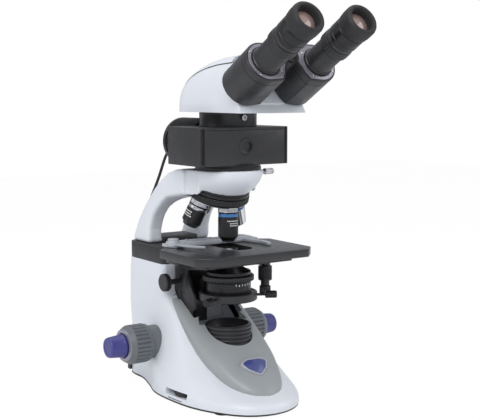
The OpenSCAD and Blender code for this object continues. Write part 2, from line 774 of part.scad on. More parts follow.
module clip_finger() color("silver") on_axis() difference() {
    union() {
        translate([pin_x, pin_y, 0]) rod(8, holder_z1 - 3 + gap, holder_z1 + 4);
        slab(holder_z1 - 3 + gap, holder_z1) polygon([[-57, 30], [-53, 8],
            [-45, -7], [-38, -13], [-36.5, -11], [-42, -2], [-46, 12], [-44.5, 30]]);
    }
    translate([pin_x, pin_y, 0]) rod(pin_r + fit, 160, 190);
}

module on_drive() translate([drive_x, drive_y, 0]) children();

module drive_knobs_y() color("dimgray") on_axis() on_drive() difference() {
    union() {
        rod(8, drive_z - 16, drive_z + 1);
        rod(5, drive_z - 22, drive_z - 15);
    }
    rod(3 + fit, 119, 140);
    rod(2, 100, 140);
    flutes(24, 8.2, 0.7, drive_z - 14, drive_z - 2);
}

module drive_knob_x() color("dimgray") on_axis() on_drive() difference() {
    union() {
        rod(6.5, drive_z - 32, drive_z - 22 - gap);
        rod(1.5, drive_z - 23, stage_z0 - 3);
    }
    flutes(20, 6.7, 0.6, drive_z - 30, drive_z - 24);
}

// ---- condenser ----

module condenser_carrier_form() difference() {
    union() {
        rod(ring_r, condenser_z - ring_t / 2, condenser_z + ring_t / 2);
        box(-15, 15, 27, condenser_axis_y - condenser_pinion_r - gap, 102, 128);
    }
    rod(26, 90, 140);
    rod(29, condenser_z + ring_t / 2, 140);
}

module condenser_unit() color("dimgray") on_axis() difference() {
    union() {
        condenser_carrier_form();
        rod(26, condenser_z - ring_t / 2, 120);
        rod(condenser_r, 119.9, 130);
        rod(iris_r, 129.9, 137);
        rod(condenser_r, 136.6, 141);
        translate([0, 0, 140.9]) cylinder(r1 = 22, r2 = 11, h = 7);
        rod(11, 147, 165);
    }
    rod(8, 90, 162);
    translate([0, 0, 162]) rod(9.5, 0, 5);
    for (a = [-30, 210]) rotate([0, 0, a]) translate([0, 0, condenser_z]) rod_x(1.5 + fit, 26.3, 40);
}

// Knurled ring that opens the iris
module iris_ring() color("dimgray") on_axis() difference() {
    pipe(condenser_r + 3.4, iris_r + fit, iris_z0, iris_z0 + 6);
    flutes(48, condenser_r + 3.6, 0.7, iris_z0 + 0.8, iris_z0 + 5.2);
}

// Knob and pinion that raise and lower the condenser
module condenser_knob() color("dimgray") on_axis()
    translate([0, condenser_axis_y, condenser_knob_z]) difference() {
        union() {
            rod_x(3, -48, -9);
            rod_x(10, -53.5, -46.5);
            rod_x(condenser_pinion_r, -12.5, -8);
        }
        rotate([0, 90, 0]) flutes(32, 10.2, 0.8, -54.5, -48.5);
        rotate([0, 90, 0]) flutes(12, condenser_pinion_r + 0.2, 0.7, -13, -7);
    }

module centring_screw(angle) on_axis() rotate([0, 0, angle]) translate([0, 0, condenser_z]) {
    rod_x(1.5, 26.6, 42);
    difference() {
        rod_x(4.1, 41, 54);
        rotate([0, 90, 0]) flutes(16, 4.3, 0.5, 43, 53);
    }
}

module centring_screw_left() color("black") centring_screw(210);
module centring_screw_right() color("black") centring_screw(-30);

base_shell();
base_cover();
lamp_hood();
field_lens();
lamp_board();
badge_plate();
bottom_plate();
rubber_feet();
rear_cover();
power_inlet();
power_switch();
dimmer_wheel();
coarse_shaft();
coarse_knobs();
fine_knobs();
shaft_collars();
arm_collar();
upper_arm();
turret_base();
turret_disc();
objective_front();
objective_right();
objective_back();
objective_left();
mount_ring();
clamp_screw();
filter_housing();
end_caps();
port_plug();
filter_cube();
lamp_house();
lamp_lead();
lead_plug();
neck_ring();
neck_screw();
head_base();
head_roof();
hinge_pin();
left_prism_housing();
right_prism_housing();
left_eye_tube();
right_eye_tube();
diopter_ring_left();
diopter_ring_right();
left_eyepiece();
right_eyepiece();
left_eyecup();
right_eyecup();
stage_carrier();
stage_rails();
stage_plate();
slide_holder();
clip_finger();
drive_knobs_y();
drive_knob_x();
condenser_unit();
condenser_knob();
iris_ring();
centring_screw_left();
centring_screw_right();
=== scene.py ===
"""Looks of an upright laboratory microscope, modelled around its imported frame."""

import json
import math
from contextlib import contextmanager

import bpy
from bpy.props import FloatProperty, FloatVectorProperty, IntProperty, PointerProperty
from mathutils import Matrix, Vector

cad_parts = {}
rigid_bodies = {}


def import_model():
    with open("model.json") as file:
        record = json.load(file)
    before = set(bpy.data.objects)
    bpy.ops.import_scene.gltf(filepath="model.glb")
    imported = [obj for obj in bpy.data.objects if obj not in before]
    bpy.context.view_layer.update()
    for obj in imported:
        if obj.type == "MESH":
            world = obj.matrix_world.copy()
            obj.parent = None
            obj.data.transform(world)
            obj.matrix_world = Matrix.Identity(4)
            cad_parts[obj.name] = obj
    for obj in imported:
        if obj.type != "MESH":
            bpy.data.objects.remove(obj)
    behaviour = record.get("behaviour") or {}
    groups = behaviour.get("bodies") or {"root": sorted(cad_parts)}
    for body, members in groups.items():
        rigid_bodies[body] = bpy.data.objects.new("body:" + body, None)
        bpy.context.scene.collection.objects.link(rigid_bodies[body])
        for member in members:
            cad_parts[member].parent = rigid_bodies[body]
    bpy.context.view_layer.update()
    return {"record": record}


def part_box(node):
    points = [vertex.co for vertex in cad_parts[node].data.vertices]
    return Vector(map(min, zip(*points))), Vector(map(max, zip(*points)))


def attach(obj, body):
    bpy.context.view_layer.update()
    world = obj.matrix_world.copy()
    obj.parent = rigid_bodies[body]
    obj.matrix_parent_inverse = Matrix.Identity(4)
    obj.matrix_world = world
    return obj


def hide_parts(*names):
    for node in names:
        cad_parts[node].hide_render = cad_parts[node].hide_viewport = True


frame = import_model()

bl_info = {
    "name": "Laboratory Microscope",
    "version": (1, 0, 0),
    "blender": (4, 5, 0),
    "location": "View3D > Sidebar > Microscope",
    "description": "Builds the finished surfaces of an upright laboratory microscope",
    "category": "Add Mesh",
}

# ---------------------------------------------------------------- places

MM = 0.001
SCALE = Matrix.Scale(MM, 4)
JOINTS = {j["name"]: j for j in frame["record"]["behaviour"]["joints"]}


def middle(node):
    """The middle of a node's box, in metres."""
    low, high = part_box(node)
    return (low + high) / 2


def turn(axis, degrees):
    return Matrix.Rotation(math.radians(degrees), 4, axis)


def shift(x, y, z):
    """A move in millimetres."""
    return Matrix.Translation((x, y, z))


def joint_place(name):
    return Matrix.Translation(Vector(JOINTS[name]["pos_m"]))


AXIS_Y = middle("lamp_hood").y
STAND = Matrix.Translation((0, AXIS_Y, 0)) @ SCALE
EYE_TILT = 30
HINGE_UP = 8
HINGE_MIDDLE = 24
HEAD = (joint_place("left_prism_turn") @ turn("X", 90 - EYE_TILT) @ SCALE
        @ shift(0, -HINGE_UP, -HINGE_MIDDLE))
TURRET_TILT = 18
TURRET = joint_place("turret_turn") @ turn("X", TURRET_TILT) @ SCALE
SEAT_R = 21
SHAFT = joint_place("coarse_turn") @ SCALE
EYE_HALF = 32
BLOCK_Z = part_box("filter_housing")[0].z / MM
BLOCK_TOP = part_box("filter_housing")[1].z / MM
HEAD_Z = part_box("neck_ring")[1].z / MM + 0.3
STAGE_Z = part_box("slide_holder")[0].z / MM + 8
COLUMN_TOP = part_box("arm_collar")[0].z / MM
ARM_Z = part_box("arm_collar")[1].z / MM

# ---------------------------------------------------------------- modelling


def only(*objects):
    bpy.ops.object.select_all(action="DESELECT")
    for thing in objects:
        thing.select_set(True)
    bpy.context.view_layer.objects.active = objects[0]


@contextmanager
def editing(obj, selected="SELECT"):
    """Edit mode on one object, with everything or nothing selected."""
    only(obj)
    bpy.ops.object.mode_set(mode="EDIT")
    bpy.ops.mesh.select_all(action=selected)
    yield
    bpy.ops.object.mode_set(mode="OBJECT")


def pick(obj, test, mode="VERT"):
    """Selects the vertices, edges or faces whose middle passes the test."""
    only(obj)
    bpy.ops.object.mode_set(mode="EDIT")
    bpy.ops.mesh.select_mode(type=mode)
    bpy.ops.mesh.select_all(action="DESELECT")
    bpy.ops.object.mode_set(mode="OBJECT")
    mesh = obj.data
    if mode == "VERT":
        for vertex in mesh.vertices:
            vertex.select = test(vertex.co)
    elif mode == "EDGE":
        for edge in mesh.edges:
            a, b = (mesh.vertices[i].co for i in edge.vertices)
            edge.select = test(a, b)
    else:
        for face in mesh.polygons:
            face.select = test(face.center, face.normal)


def modify(obj, kind, **settings):
    """Adds one modifier and applies it."""
    only(obj)
    modifier = obj.modifiers.new(kind.title(), kind)
    for key, value in settings.items():
        setattr(modifier, key, value)
    bpy.ops.object.modifier_apply(modifier=modifier.name)


def bevel(obj, width, segments=2, angle=35):
    modify(obj, "BEVEL", width=width, segments=segments, limit_method="ANGLE",
           angle_limit=math.radians(angle), harden_normals=False)


def cut(obj, *cutters):
    for cutter in cutters:
        modify(obj, "BOOLEAN", operation="DIFFERENCE", object=cutter, solver="EXACT")
        bpy.data.objects.remove(cutter)


def weld(obj, other):
    modify(obj, "BOOLEAN", operation="UNION", object=other, solver="EXACT")
    bpy.data.objects.remove(other)


def smooth(obj, angle=35):
    only(obj)
    bpy.ops.object.shade_smooth_by_angle(angle=math.radians(angle))


def soften(obj, voxel, rounds):
    """Melts the joins of a welded shape together, as a casting has them."""
    modify(obj, "REMESH", mode="VOXEL", voxel_size=voxel)
    modify(obj, "SMOOTH", factor=0.5, iterations=rounds)
    only(obj)
    bpy.ops.object.shade_smooth()


def outward(obj):
    with editing(obj):
        bpy.ops.mesh.remove_doubles(threshold=0.001)
        bpy.ops.mesh.normals_make_consistent(inside=False)


def place(obj, matrix):
    """Puts a piece drawn in millimetres in its place, with the place in its mesh."""
    only(obj)
    obj.matrix_world = matrix
    bpy.ops.object.transform_apply(location=True, rotation=True, scale=True)
    return obj


def copy(obj, matrix, name):
    """A copy with its own mesh, moved by a matrix in millimetres."""
    twin = obj.copy()
    twin.data = obj.data.copy()
    twin.name = name
    bpy.context.collection.objects.link(twin)
    only(twin)
    twin.matrix_world = matrix
    bpy.ops.object.transform_apply(location=True, rotation=True, scale=True)
    if matrix.determinant() < 0:
        with editing(twin):
            bpy.ops.mesh.flip_normals()
    return twin


def joined(name, *objects):
    only(*objects)
    if len(objects) > 1:
        bpy.ops.object.join()
    objects[0].name = name
    return objects[0]


def finish(obj, body, material, slot, *nodes, matrix=None, angle=35):
    """Gives a piece its shading, material, body and the nodes that it stands for."""
    if matrix is not None:
        place(obj, matrix)
    if angle:
        smooth(obj, angle)
    if material is not None:
        obj.data.materials.clear()
        obj.data.materials.append(material)
    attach(obj, body)
    if nodes:
        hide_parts(*nodes)
    return obj


def turned(name, profile, segments=72):
    """A turned piece: a ring at the profile's first point, drawn along the other points.

    The profile holds radius and height pairs. A profile that comes back to its first
    point makes a hollow ring, and any other is closed by flat ends.
    """
    bpy.ops.object.select_all(action="DESELECT")
    r, h = profile[0]
    closed = tuple(profile[0]) == tuple(profile[-1])
    bpy.ops.mesh.primitive_circle_add(vertices=segments, radius=max(r, 0.001),
                                      fill_type="NOTHING" if closed else "NGON",
                                      location=(0, 0, h))
    obj = bpy.context.object
    obj.name = name
    only(obj)
    bpy.ops.object.transform_apply(location=True, rotation=True, scale=True)
    with editing(obj):
        bpy.ops.mesh.select_mode(type="EDGE" if closed else "FACE")
        bpy.ops.mesh.select_all(action="SELECT")
        last = max(r, 0.001)
        for r_next, h_next in profile[1:]:
            r_next = max(r_next, 0.001)
            bpy.ops.mesh.extrude_region_move(
                TRANSFORM_OT_translate={"value": (0, 0, h_next - h)})
            if abs(r_next - last) > 1e-9:
                k = r_next / last
                bpy.ops.transform.resize(value=(k, k, 1), center_override=(0, 0, h_next))
            last, h = r_next, h_next
        bpy.ops.mesh.select_mode(type="VERT")
    outward(obj)
    return obj


def flute(obj, count, depth, h0, h1, r_min, wide=(0, 1)):
    """Presses flutes into a turned piece that has four segments for each flute."""
    def in_groove(co):
        if not (h0 <= co.z <= h1 and math.hypot(co.x, co.y) > r_min):
            return False
        step = math.atan2(co.y, co.x) / math.tau * count * 4
        return round(step) % 4 in wide
    pick(obj, in_groove)
    radius = max(math.hypot(v.co.x, v.co.y) for v in obj.data.vertices if v.select)
    k = (radius - depth) / radius
    bpy.ops.object.mode_set(mode="EDIT")
    bpy.ops.transform.resize(value=(k, k, 1), center_override=(0, 0, 0))
    bpy.ops.object.mode_set(mode="OBJECT")


def rounded(corners, steps=5):
    """An outline from corners with a radius each: (x, y, radius)."""
    points = []
    n = len(corners)
    for i, (x, y, r) in enumerate(corners):
        here = Vector((x, y))
        if r <= 0:
            points.append((x, y))
            continue
        before = (Vector(corners[i - 1][:2]) - here).normalized()
        after = (Vector(corners[(i + 1) % n][:2]) - here).normalized()
        half = before.angle(after) / 2
        reach = r / math.tan(half)
        centre = here + (before + after).normalized() * (r / math.sin(half))
        start = here + before * reach - centre
        end = here + after * reach - centre
        sweep = start.angle_signed(end)
        for k in range(steps + 1):
            part = -sweep * k / steps
            c, s = math.cos(part), math.sin(part)
            points.append((centre.x + start.x * c - start.y * s,
                           centre.y + start.x * s + start.y * c))
    return points


def slab(name, outline, z0, z1, edge=0.0, segments=2):
    """A flat outline made a slab between two heights, with its edges rounded."""
    bpy.ops.object.select_all(action="DESELECT")
    bpy.ops.mesh.primitive_circle_add(vertices=len(outline), radius=1, fill_type="NGON")
    obj = bpy.context.object
    obj.name = name
    for vertex, (x, y) in zip(obj.data.vertices, outline):
        vertex.co = (x, y, z0)
    with editing(obj):
        bpy.ops.mesh.select_mode(type="FACE")
        bpy.ops.mesh.select_all(action="SELECT")
        bpy.ops.mesh.extrude_region_move(TRANSFORM_OT_translate={"value": (0, 0, z1 - z0)})
        bpy.ops.mesh.select_mode(type="VERT")
    outward(obj)
    if edge:
        bevel(obj, edge, segments)
    return obj


def block(name, x0, x1, y0, y1, z0, z1, edge=0.0, segments=2):
    return slab(name, [(x0, y0), (x1, y0), (x1, y1), (x0, y1)], z0, z1, edge, segments)


def sheet(name, rows, wrap):
    """A grid primitive shaped to rows of points; wrap closes each row to a ring."""
    bpy.ops.object.select_all(action="DESELECT")
    m, n = len(rows), len(rows[0])
    bpy.ops.mesh.primitive_grid_add(x_subdivisions=(n if wrap else n - 1),
                                    y_subdivisions=m - 1, size=1)
    obj = bpy.context.object
    obj.name = name
    width = n + 1 if wrap else n
    for i, vertex in enumerate(obj.data.vertices):
        row, column = divmod(i, width)
        vertex.co = rows[row][column % n]
    with editing(obj):
        bpy.ops.mesh.remove_doubles(threshold=0.001)
    if wrap:
        with editing(obj, "DESELECT"):
            bpy.ops.mesh.select_mode(type="EDGE")
            bpy.ops.mesh.select_non_manifold()
            bpy.ops.mesh.fill_holes(sides=0)
            bpy.ops.mesh.select_mode(type="VERT")
    outward(obj)
    return obj


def spline(points, steps, closed):
    """A smooth run of points through the given ones, of any size."""
    result = []
    n = len(points)
    spans = n if closed else n - 1
    for i in range(spans):
        around = [points[(i + k) % n] if closed else points[min(max(i + k, 0), n - 1)]
                  for k in (-1, 0, 1, 2)]
        for s in range(steps):
            t = s / steps
            result.append(tuple(
                0.5 * (2 * b + (c - a) * t + (2 * a - 5 * b + 4 * c - d) * t * t
                       + (3 * b - a - 3 * c + d) * t ** 3)
                for a, b, c, d in zip(*around)))
    if not closed:
        result.append(tuple(points[-1]))
    return result


def both_sides(half):
    """Closes a half outline, given on +X from front to back, with its mirror image."""
    return list(half) + [(-x, y) for x, y in reversed(half) if abs(x) > 1e-6]


# ---------------------------------------------------------------- materials


class Shader:
    """A small helper that adds and links nodes in one material."""

    def __init__(self, name):
        self.material = bpy.data.materials.new(name)
        self.material.use_nodes = True
        self.nodes = self.material.node_tree.nodes
        self.links = self.material.node_tree.links
        self.bsdf = self.nodes["Principled BSDF"]
        self.coords = self.add("ShaderNodeTexCoord").outputs["Object"]

    def add(self, kind, **settings):
        node = self.nodes.new(kind)
        for key, value in settings.items():
            if key in node.inputs:
                node.inputs[key].default_value = value
            else:
                setattr(node, key, value)
        return node

    def link(self, source, target):
        self.links.new(source, target)

    def noise(self, scale, detail=4.0, stretch=(1, 1, 1)):
        mapping = self.add("ShaderNodeMapping")
        mapping.inputs["Scale"].default_value = stretch
        self.link(self.coords, mapping.inputs["Vector"])
        noise = self.add("ShaderNodeTexNoise", Scale=scale, Detail=detail)
        self.link(mapping.outputs["Vector"], noise.inputs["Vector"])
        return noise.outputs["Fac"]

    def span(self, value, low, high, start=0.3, end=0.7):
        """Maps a value to a range."""
        node = self.add("ShaderNodeMapRange")
        for key, number in (("From Min", start), ("From Max", end), ("To Min", low),
                            ("To Max", high)):
            node.inputs[key].default_value = number
        self.link(value, node.inputs["Value"])
        return node.outputs["Result"]

    def mix(self, factor, a, b):
        node = self.add("ShaderNodeMix", data_type="RGBA")
        self.link(factor, node.inputs["Factor"])
        for socket, colour in ((node.inputs[6], a), (node.inputs[7], b)):
            if isinstance(colour, tuple):
                socket.default_value = (*colour, 1)
            else:
                self.link(colour, socket)
        return node.outputs[2]

    def bump(self, height, strength, distance):
        node = self.add("ShaderNodeBump")
        node.inputs["Strength"].default_value = strength
        node.inputs["Distance"].default_value = distance
        self.link(height, node.inputs["Height"])
        self.link(node.outputs["Normal"], self.bsdf.inputs["Normal"])


def shade(colour, factor):
    return tuple(min(1.0, c * factor) for c in colour)


def surface(name, colour, rough, metallic=0.0, grain=900.0, grain_depth=0.00002,
            grain_strength=0.25, mottle=0.06, spread=0.06, coat=0.0, stretch=(1, 1, 1)):
    """A finish with a soft mottle, uneven gloss, worn edges and a fine grain."""
    s = Shader(name)
    broad = s.noise(28.0)
    edge = s.add("ShaderNodeNewGeometry").outputs["Pointiness"]
    worn = s.span(edge, 0.0, 1.0, 0.52, 0.60)
    base = s.mix(s.span(broad, 0, 1), shade(colour, 1 - mottle), shade(colour, 1 + mottle))
    s.link(s.mix(worn, base, shade(colour, 1 + 3 * mottle)), s.bsdf.inputs["Base Color"])
    fine = s.noise(grain, 2.0, stretch)
    s.link(s.span(s.noise(120.0, 3.0, stretch), rough - spread, rough + spread),
           s.bsdf.inputs["Roughness"])
    s.bsdf.inputs["Metallic"].default_value = metallic
    s.bsdf.inputs["Coat Weight"].default_value = coat
    s.bsdf.inputs["Coat Roughness"].default_value = 0.12
    s.bump(fine, grain_strength, grain_depth)
    return s.material


def glass(name, colour, rough=0.02):
    s = Shader(name)
    s.bsdf.inputs["Base Color"].default_value = (*colour, 1)
    s.bsdf.inputs["Transmission Weight"].default_value = 1.0
    s.bsdf.inputs["IOR"].default_value = 1.5
    s.link(s.span(s.noise(60.0), rough, rough + 0.02), s.bsdf.inputs["Roughness"])
    s.bsdf.inputs["Coat Weight"].default_value = 0.6
    return s.material


def painted_reflection_lens(name, painted_reflection_colour):
    """Dark glass with a painted reflection in its base colour: the reflected colour of an antireflection
    coating where the lens faces the camera, dark towards grazing angles.
    """
    s = Shader(name)
    # Painted reflection: the angle to the camera mixes the coating's reflected colour into the base
    # colour.
    facing = s.add("ShaderNodeLayerWeight")
    facing.inputs["Blend"].default_value = 0.35
    s.link(s.mix(facing.outputs["Facing"], painted_reflection_colour, (0.09, 0.06, 0.10)),
           s.bsdf.inputs["Base Color"])
    s.bsdf.inputs["Specular IOR Level"].default_value = 0.9
    s.bsdf.inputs["Coat Weight"].default_value = 1.0
    s.link(s.span(s.noise(40.0), 0.03, 0.08), s.bsdf.inputs["Roughness"])
    return s.material


class MicroscopeColours(bpy.types.PropertyGroup):
    """Colours of the finishes."""

    white: FloatVectorProperty(name="White enamel", description="Castings of stand and head",
                               subtype="COLOR", size=3, default=(0.76, 0.79, 0.84))
    gray: FloatVectorProperty(name="Gray enamel", description="Cowl on the base",
                              subtype="COLOR", size=3, default=(0.33, 0.35, 0.36))
    black: FloatVectorProperty(name="Black enamel", description="Stage, block and housings",
                               subtype="COLOR", size=3, default=(0.021, 0.021, 0.023))
    knob: FloatVectorProperty(name="Knob gray", description="Coarse knobs and collars",
                              subtype="COLOR", size=3, default=(0.14, 0.152, 0.163))
    blue: FloatVectorProperty(name="Knob blue", description="Fine focus knobs",
                              subtype="COLOR", size=3, default=(0.055, 0.055, 0.24))
    badge: FloatVectorProperty(name="Badge blue", description="Face of the plain badge",
                               subtype="COLOR", size=3, default=(0.06, 0.075, 0.25))
    silver: FloatVectorProperty(name="Silver", description="Specimen holder and bright rings",
                                subtype="COLOR", size=3, default=(0.50, 0.52, 0.56))


class MicroscopeSizes(bpy.types.PropertyGroup):
    """Sizes of details, in millimetres."""

    eyecup_r: FloatProperty(name="Eyecup radius", description="Radius of the rubber eyecups",
                            default=17.3, min=16, max=20)
    fin_pitch: FloatProperty(name="Fin pitch", description="Distance between cooling fins",
                             default=5.0, min=4, max=8)
    knob_ribs: IntProperty(name="Knob ribs", description="Ribs round a coarse knob",
                           default=28, min=16, max=60)
    hood_rings: IntProperty(name="Hood rings", description="Rings of the lamp hood",
                            default=7, min=3, max=9)


MATERIALS = {}


def make_materials():
    colours = bpy.context.scene.microscope_colours
    white, gray, black = tuple(colours.white), tuple(colours.gray), tuple(colours.black)
    knob, blue, silver = tuple(colours.knob), tuple(colours.blue), tuple(colours.silver)
    m = MATERIALS
    m["white"] = surface("White enamel", white, 0.34, mottle=0.012, coat=0.25,
                         grain=700, grain_strength=0.08)
    m["gray"] = surface("Gray enamel", gray, 0.42, mottle=0.03, coat=0.15)
    m["black"] = surface("Textured black enamel", black, 0.4, grain=1500,
                         grain_strength=0.5, mottle=0.12)
    m["anodised"] = surface("Black anodised", shade(black, 0.8), 0.32, metallic=0.35,
                            grain=1800, grain_strength=0.12, mottle=0.1)
    m["plastic"] = surface("Black plastic", shade(black, 0.9), 0.42, grain=1200,
                           grain_strength=0.2)
    m["rubber"] = surface("Black rubber", (0.017, 0.017, 0.018), 0.62, grain=1600,
                          grain_strength=0.4)
    m["knob"] = surface("Gray knob plastic", knob, 0.45, mottle=0.05)
    m["blue"] = surface("Blue knob plastic", blue, 0.38, mottle=0.05)
    m["badge"] = surface("Badge enamel", tuple(colours.badge), 0.22, coat=0.6)
    m["silver"] = surface("Satin silver", silver, 0.42, metallic=0.45, grain=1400,
                          grain_strength=0.1, mottle=0.03)
    m["steel"] = surface("Turned steel", (0.52, 0.52, 0.54), 0.22, metallic=1.0,
                         grain=2500, grain_strength=0.15, stretch=(1, 1, 8))
    m["chrome"] = surface("Bright chrome", (0.75, 0.75, 0.77), 0.08, metallic=1.0,
                          grain_strength=0.02, spread=0.03, mottle=0.01)
    m["plate"] = surface("Lavender gray plate", (0.33, 0.32, 0.37), 0.35, metallic=0.6)
    m["stage"] = surface("Stage lacquer", shade(black, 1.1), 0.34, coat=0.15, grain=900,
                         grain_strength=0.06, spread=0.05)
    m["ring_blue"] = surface("Blue ring enamel", (0.03, 0.16, 0.42), 0.3, coat=0.4)
    m["ring_yellow"] = surface("Yellow ring enamel", (0.62, 0.42, 0.04), 0.3, coat=0.4)
    m["ring_red"] = surface("Red ring enamel", (0.42, 0.03, 0.025), 0.3, coat=0.4)
    m["mark"] = surface("White marking", (0.75, 0.75, 0.75), 0.5)
    m["board"] = surface("Circuit board", (0.02, 0.12, 0.05), 0.4)
    m["glass"] = glass("Optical glass", (0.93, 0.97, 0.98))
    m["lens"] = painted_reflection_lens("Coated lens", (0.42, 0.29, 0.23))

# ---------------------------------------------------------------- base

# Half outlines of the base casting at rising heights, from front to back
BASE_LEVELS = [
    (4, [(0, -95), (29, -86), (50, -62), (66, -20), (69, 38), (58, 76), (50, 105),
         (49, 130), (40, 142), (0, 144)]),
    (12, [(0, -93), (29, -84), (50, -60), (65.5, -20), (68.5, 38), (57.5, 76), (50, 105),
          (48.5, 130), (40, 141), (0, 143)]),
    (20, [(0, -77), (27, -69), (47, -50), (63, -15), (67, 40), (57, 77), (49.5, 105),
          (48, 129), (40, 140), (0, 142)]),
    (31, [(0, -51), (24, -46), (43, -33), (59, -6), (64, 42), (56, 79), (49, 105),
          (47.5, 128), (40, 138), (0, 140)]),
    (43, [(0, -30), (21, -27), (39, -15), (54, 6), (58.5, 45), (54, 79), (48.5, 105),
          (47, 128), (39, 138), (0, 140)]),
    (56, [(0, -9), (21, -6), (38, 3), (50, 18), (54.5, 50), (52, 79), (48, 105),
          (47, 131), (39, 141), (0, 142)]),
    (72, [(0, 13), (20, 15), (38, 22), (47, 33), (50.5, 56), (50, 80), (47.5, 105),
          (46.5, 134), (38, 144.5), (0, 146)]),
    (90, [(0, 32), (20, 33), (38, 38), (45, 46), (48, 63), (48, 82), (47, 105),
          (46.2, 136), (38, 146), (0, 147.5)]),
    (106, [(0, 54), (20, 54.5), (37, 56), (44, 60), (46.5, 70), (46.5, 86), (46.3, 105),
           (46, 136), (38, 146), (0, 147.5)]),
    (122, [(0, 63), (20, 63), (37, 63.4), (43, 65), (45.8, 72), (46, 88), (46, 105),
           (45.8, 136), (38, 145.4), (0, 146.5)]),
    (142, [(0, 64), (20, 64), (37, 64.4), (43, 66), (45.5, 73), (45.6, 88), (45.6, 105),
           (45.4, 135), (37, 144.6), (0, 145.6)]),
]


def base_rings(steps_up, steps_round):
    """Smooth rings of the casting, from the table up to the collar."""
    heights = [z for z, _ in BASE_LEVELS]
    columns = zip(*[both_sides(half) for _, half in BASE_LEVELS])
    risen = [spline([(x, y, z) for (x, y), z in zip(column, heights)], steps_up, False)
             for column in columns]
    return [[Vector(p) for p in spline(ring, steps_round, True)] for ring in zip(*risen)]


class MICROSCOPE_OT_base(bpy.types.Operator):
    """Casts the white base and column, with its bottom plate"""

    bl_idname = "microscope.base"
    bl_label = "Base and column"

    def execute(self, context):
        shell = sheet("base_casting", base_rings(4, 5), True)
        well = turned("well", [(26.6, 42), (26.6, 170)])
        recess = block("recess", -32.7, 32.7, 18.5, 64, 74, 160, 3)
        slot = slab("dimmer_slot", rounded([(-80, -18.5, 1), (-45, -18.5, 1), (-45, 20.5, 1),
                                            (-80, 20.5, 1)]), 8.8, 15.2)
        wedge = slab("dimmer_wedge", [(-80, -16), (-62.2, -8), (-62.2, 16), (-80, 16)], 4.6, 6.4)
        cut(shell, well, recess, slot, wedge)
        finish(shell, "stand", MATERIALS["white"], "white_paint", "base_shell", matrix=STAND)
        plate = sheet("base_plate", [[Vector((p.x * k, p.y * k + 0.6, z)) for p in ring]
                                     for ring, k, z in ((base_rings(1, 5)[0], 0.985, 1.6),
                                                        (base_rings(1, 5)[0], 1.0, 2.2),
                                                        (base_rings(1, 5)[0], 1.0, 3.9))], True)
        finish(plate, "stand", MATERIALS["plastic"], "black_paint", "bottom_plate",
               matrix=STAND)
        return {"FINISHED"}


# Stations of the cowl from its tip up to the column: y, edge height, half width, crown
COWL = [(-80, 17, 4, 2.5), (-76, 18.5, 14, 6), (-70, 21, 21.5, 9), (-61, 25, 28.5, 12),
        (-48, 31, 35, 15), (-29, 43, 40.5, 17), (-4, 58, 43.5, 19), (23, 77, 43.5, 18),
        (43, 93, 42, 13), (58, 104, 40, 9), (63.8, 110, 39, 7)]


class MICROSCOPE_OT_cowl(bpy.types.Operator):
    """Models the gray cowl that runs up the front of the base, and its plain badge"""

    bl_idname = "microscope.cowl"
    bl_label = "Cowl and badge"

    def execute(self, context):
        rows = []
        for y, z, half, crown in spline(COWL, 5, False):
            row = [Vector((half * math.sin(math.radians(a)), y,
                           z - 1 + (crown + 1) * math.cos(math.radians(a)) ** 0.8))
                   for a in range(-90, 91, 5)]
            row += [Vector((half * x, y, z - 9)) for x in (0.94, 0, -0.94)]
            rows.append(row)
        cowl = sheet("base_cowl", rows, True)
        cut(cowl, turned("well", [(26.8, 30), (26.8, 170)]),
            turned("room", [(33, 81), (33, 170)]),
            block("recess", -32.7, 32.7, 18.5, 70, 74, 160, 3),
            block("shaft_way", -60, -30, 47.6, 56.4, 104, 170))
        finish(cowl, "stand", MATERIALS["gray"], "gray_paint", "base_cover", matrix=STAND)
        seat = STAND @ shift(0, -53, 44) @ turn("X", 37)
        shield = rounded([(-17.5, 6.5, 3), (-9, 10.5, 8), (9, 10.5, 8), (17.5, 6.5, 3),
                          (12, -4, 8), (0, -13.5, 4), (-12, -4, 8)])
        rim = slab("badge_rim", shield, -3, 1.4, 0.5)
        with editing(rim, "DESELECT"):
            pass
        pick(rim, lambda c, n: n.z > 0.9, "FACE")
        bpy.ops.object.mode_set(mode="EDIT")
        bpy.ops.mesh.inset(thickness=1.3)
        bpy.ops.transform.translate(value=(0, 0, -0.5))
        bpy.ops.object.mode_set(mode="OBJECT")
        finish(rim, "stand", MATERIALS["silver"], "badge", matrix=seat)
        face = slab("badge_face", [(x * 0.86, y * 0.86 - 0.2) for x, y in shield], -2, 1.15, 0.25)
        finish(face, "stand", MATERIALS["badge"], "badge", "badge_plate", matrix=seat)
        return {"FINISHED"}


class MICROSCOPE_OT_lamp_hood(bpy.types.Operator):
    """Turns the ringed lamp hood and its field lens"""

    bl_idname = "microscope.lamp_hood"
    bl_label = "Lamp hood"

    def execute(self, context):
        rings = context.scene.microscope_sizes.hood_rings
        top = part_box("lamp_hood")[1].z / MM
        pitch = 4.4
        profile = [(20, 44), (24.4, 44)]
        for i in range(rings):
            z = top - pitch * (rings - i)
            profile += [(24.4, z), (25.6, z + 0.5), (26, z + 1.2), (26, z + 2.4),
                        (25.6, z + 3.1), (24.4, z + 3.6)]
        profile += [(24.4, top - 0.4), (24, top), (22.6, top), (21.5, top - 0.8), (18, top - 7),
                    (17, top - 8), (17, top - 9), (20, top - 9), (20, 44)]
        hood = turned("hood_rings", profile)
        finish(hood, "stand", MATERIALS["plastic"], "black_plastic", "lamp_hood", matrix=STAND)
        dome = [(17.9, 66), (17.9, 71)]
        dome += [(18 * math.cos(math.radians(a)), 71 + 4 * math.sin(math.radians(a)))
                 for a in range(15, 91, 15)]
        lens = turned("field_lens_dome", dome)
        finish(lens, "stand", MATERIALS["glass"], "glass", "field_lens", matrix=STAND)
        return {"FINISHED"}


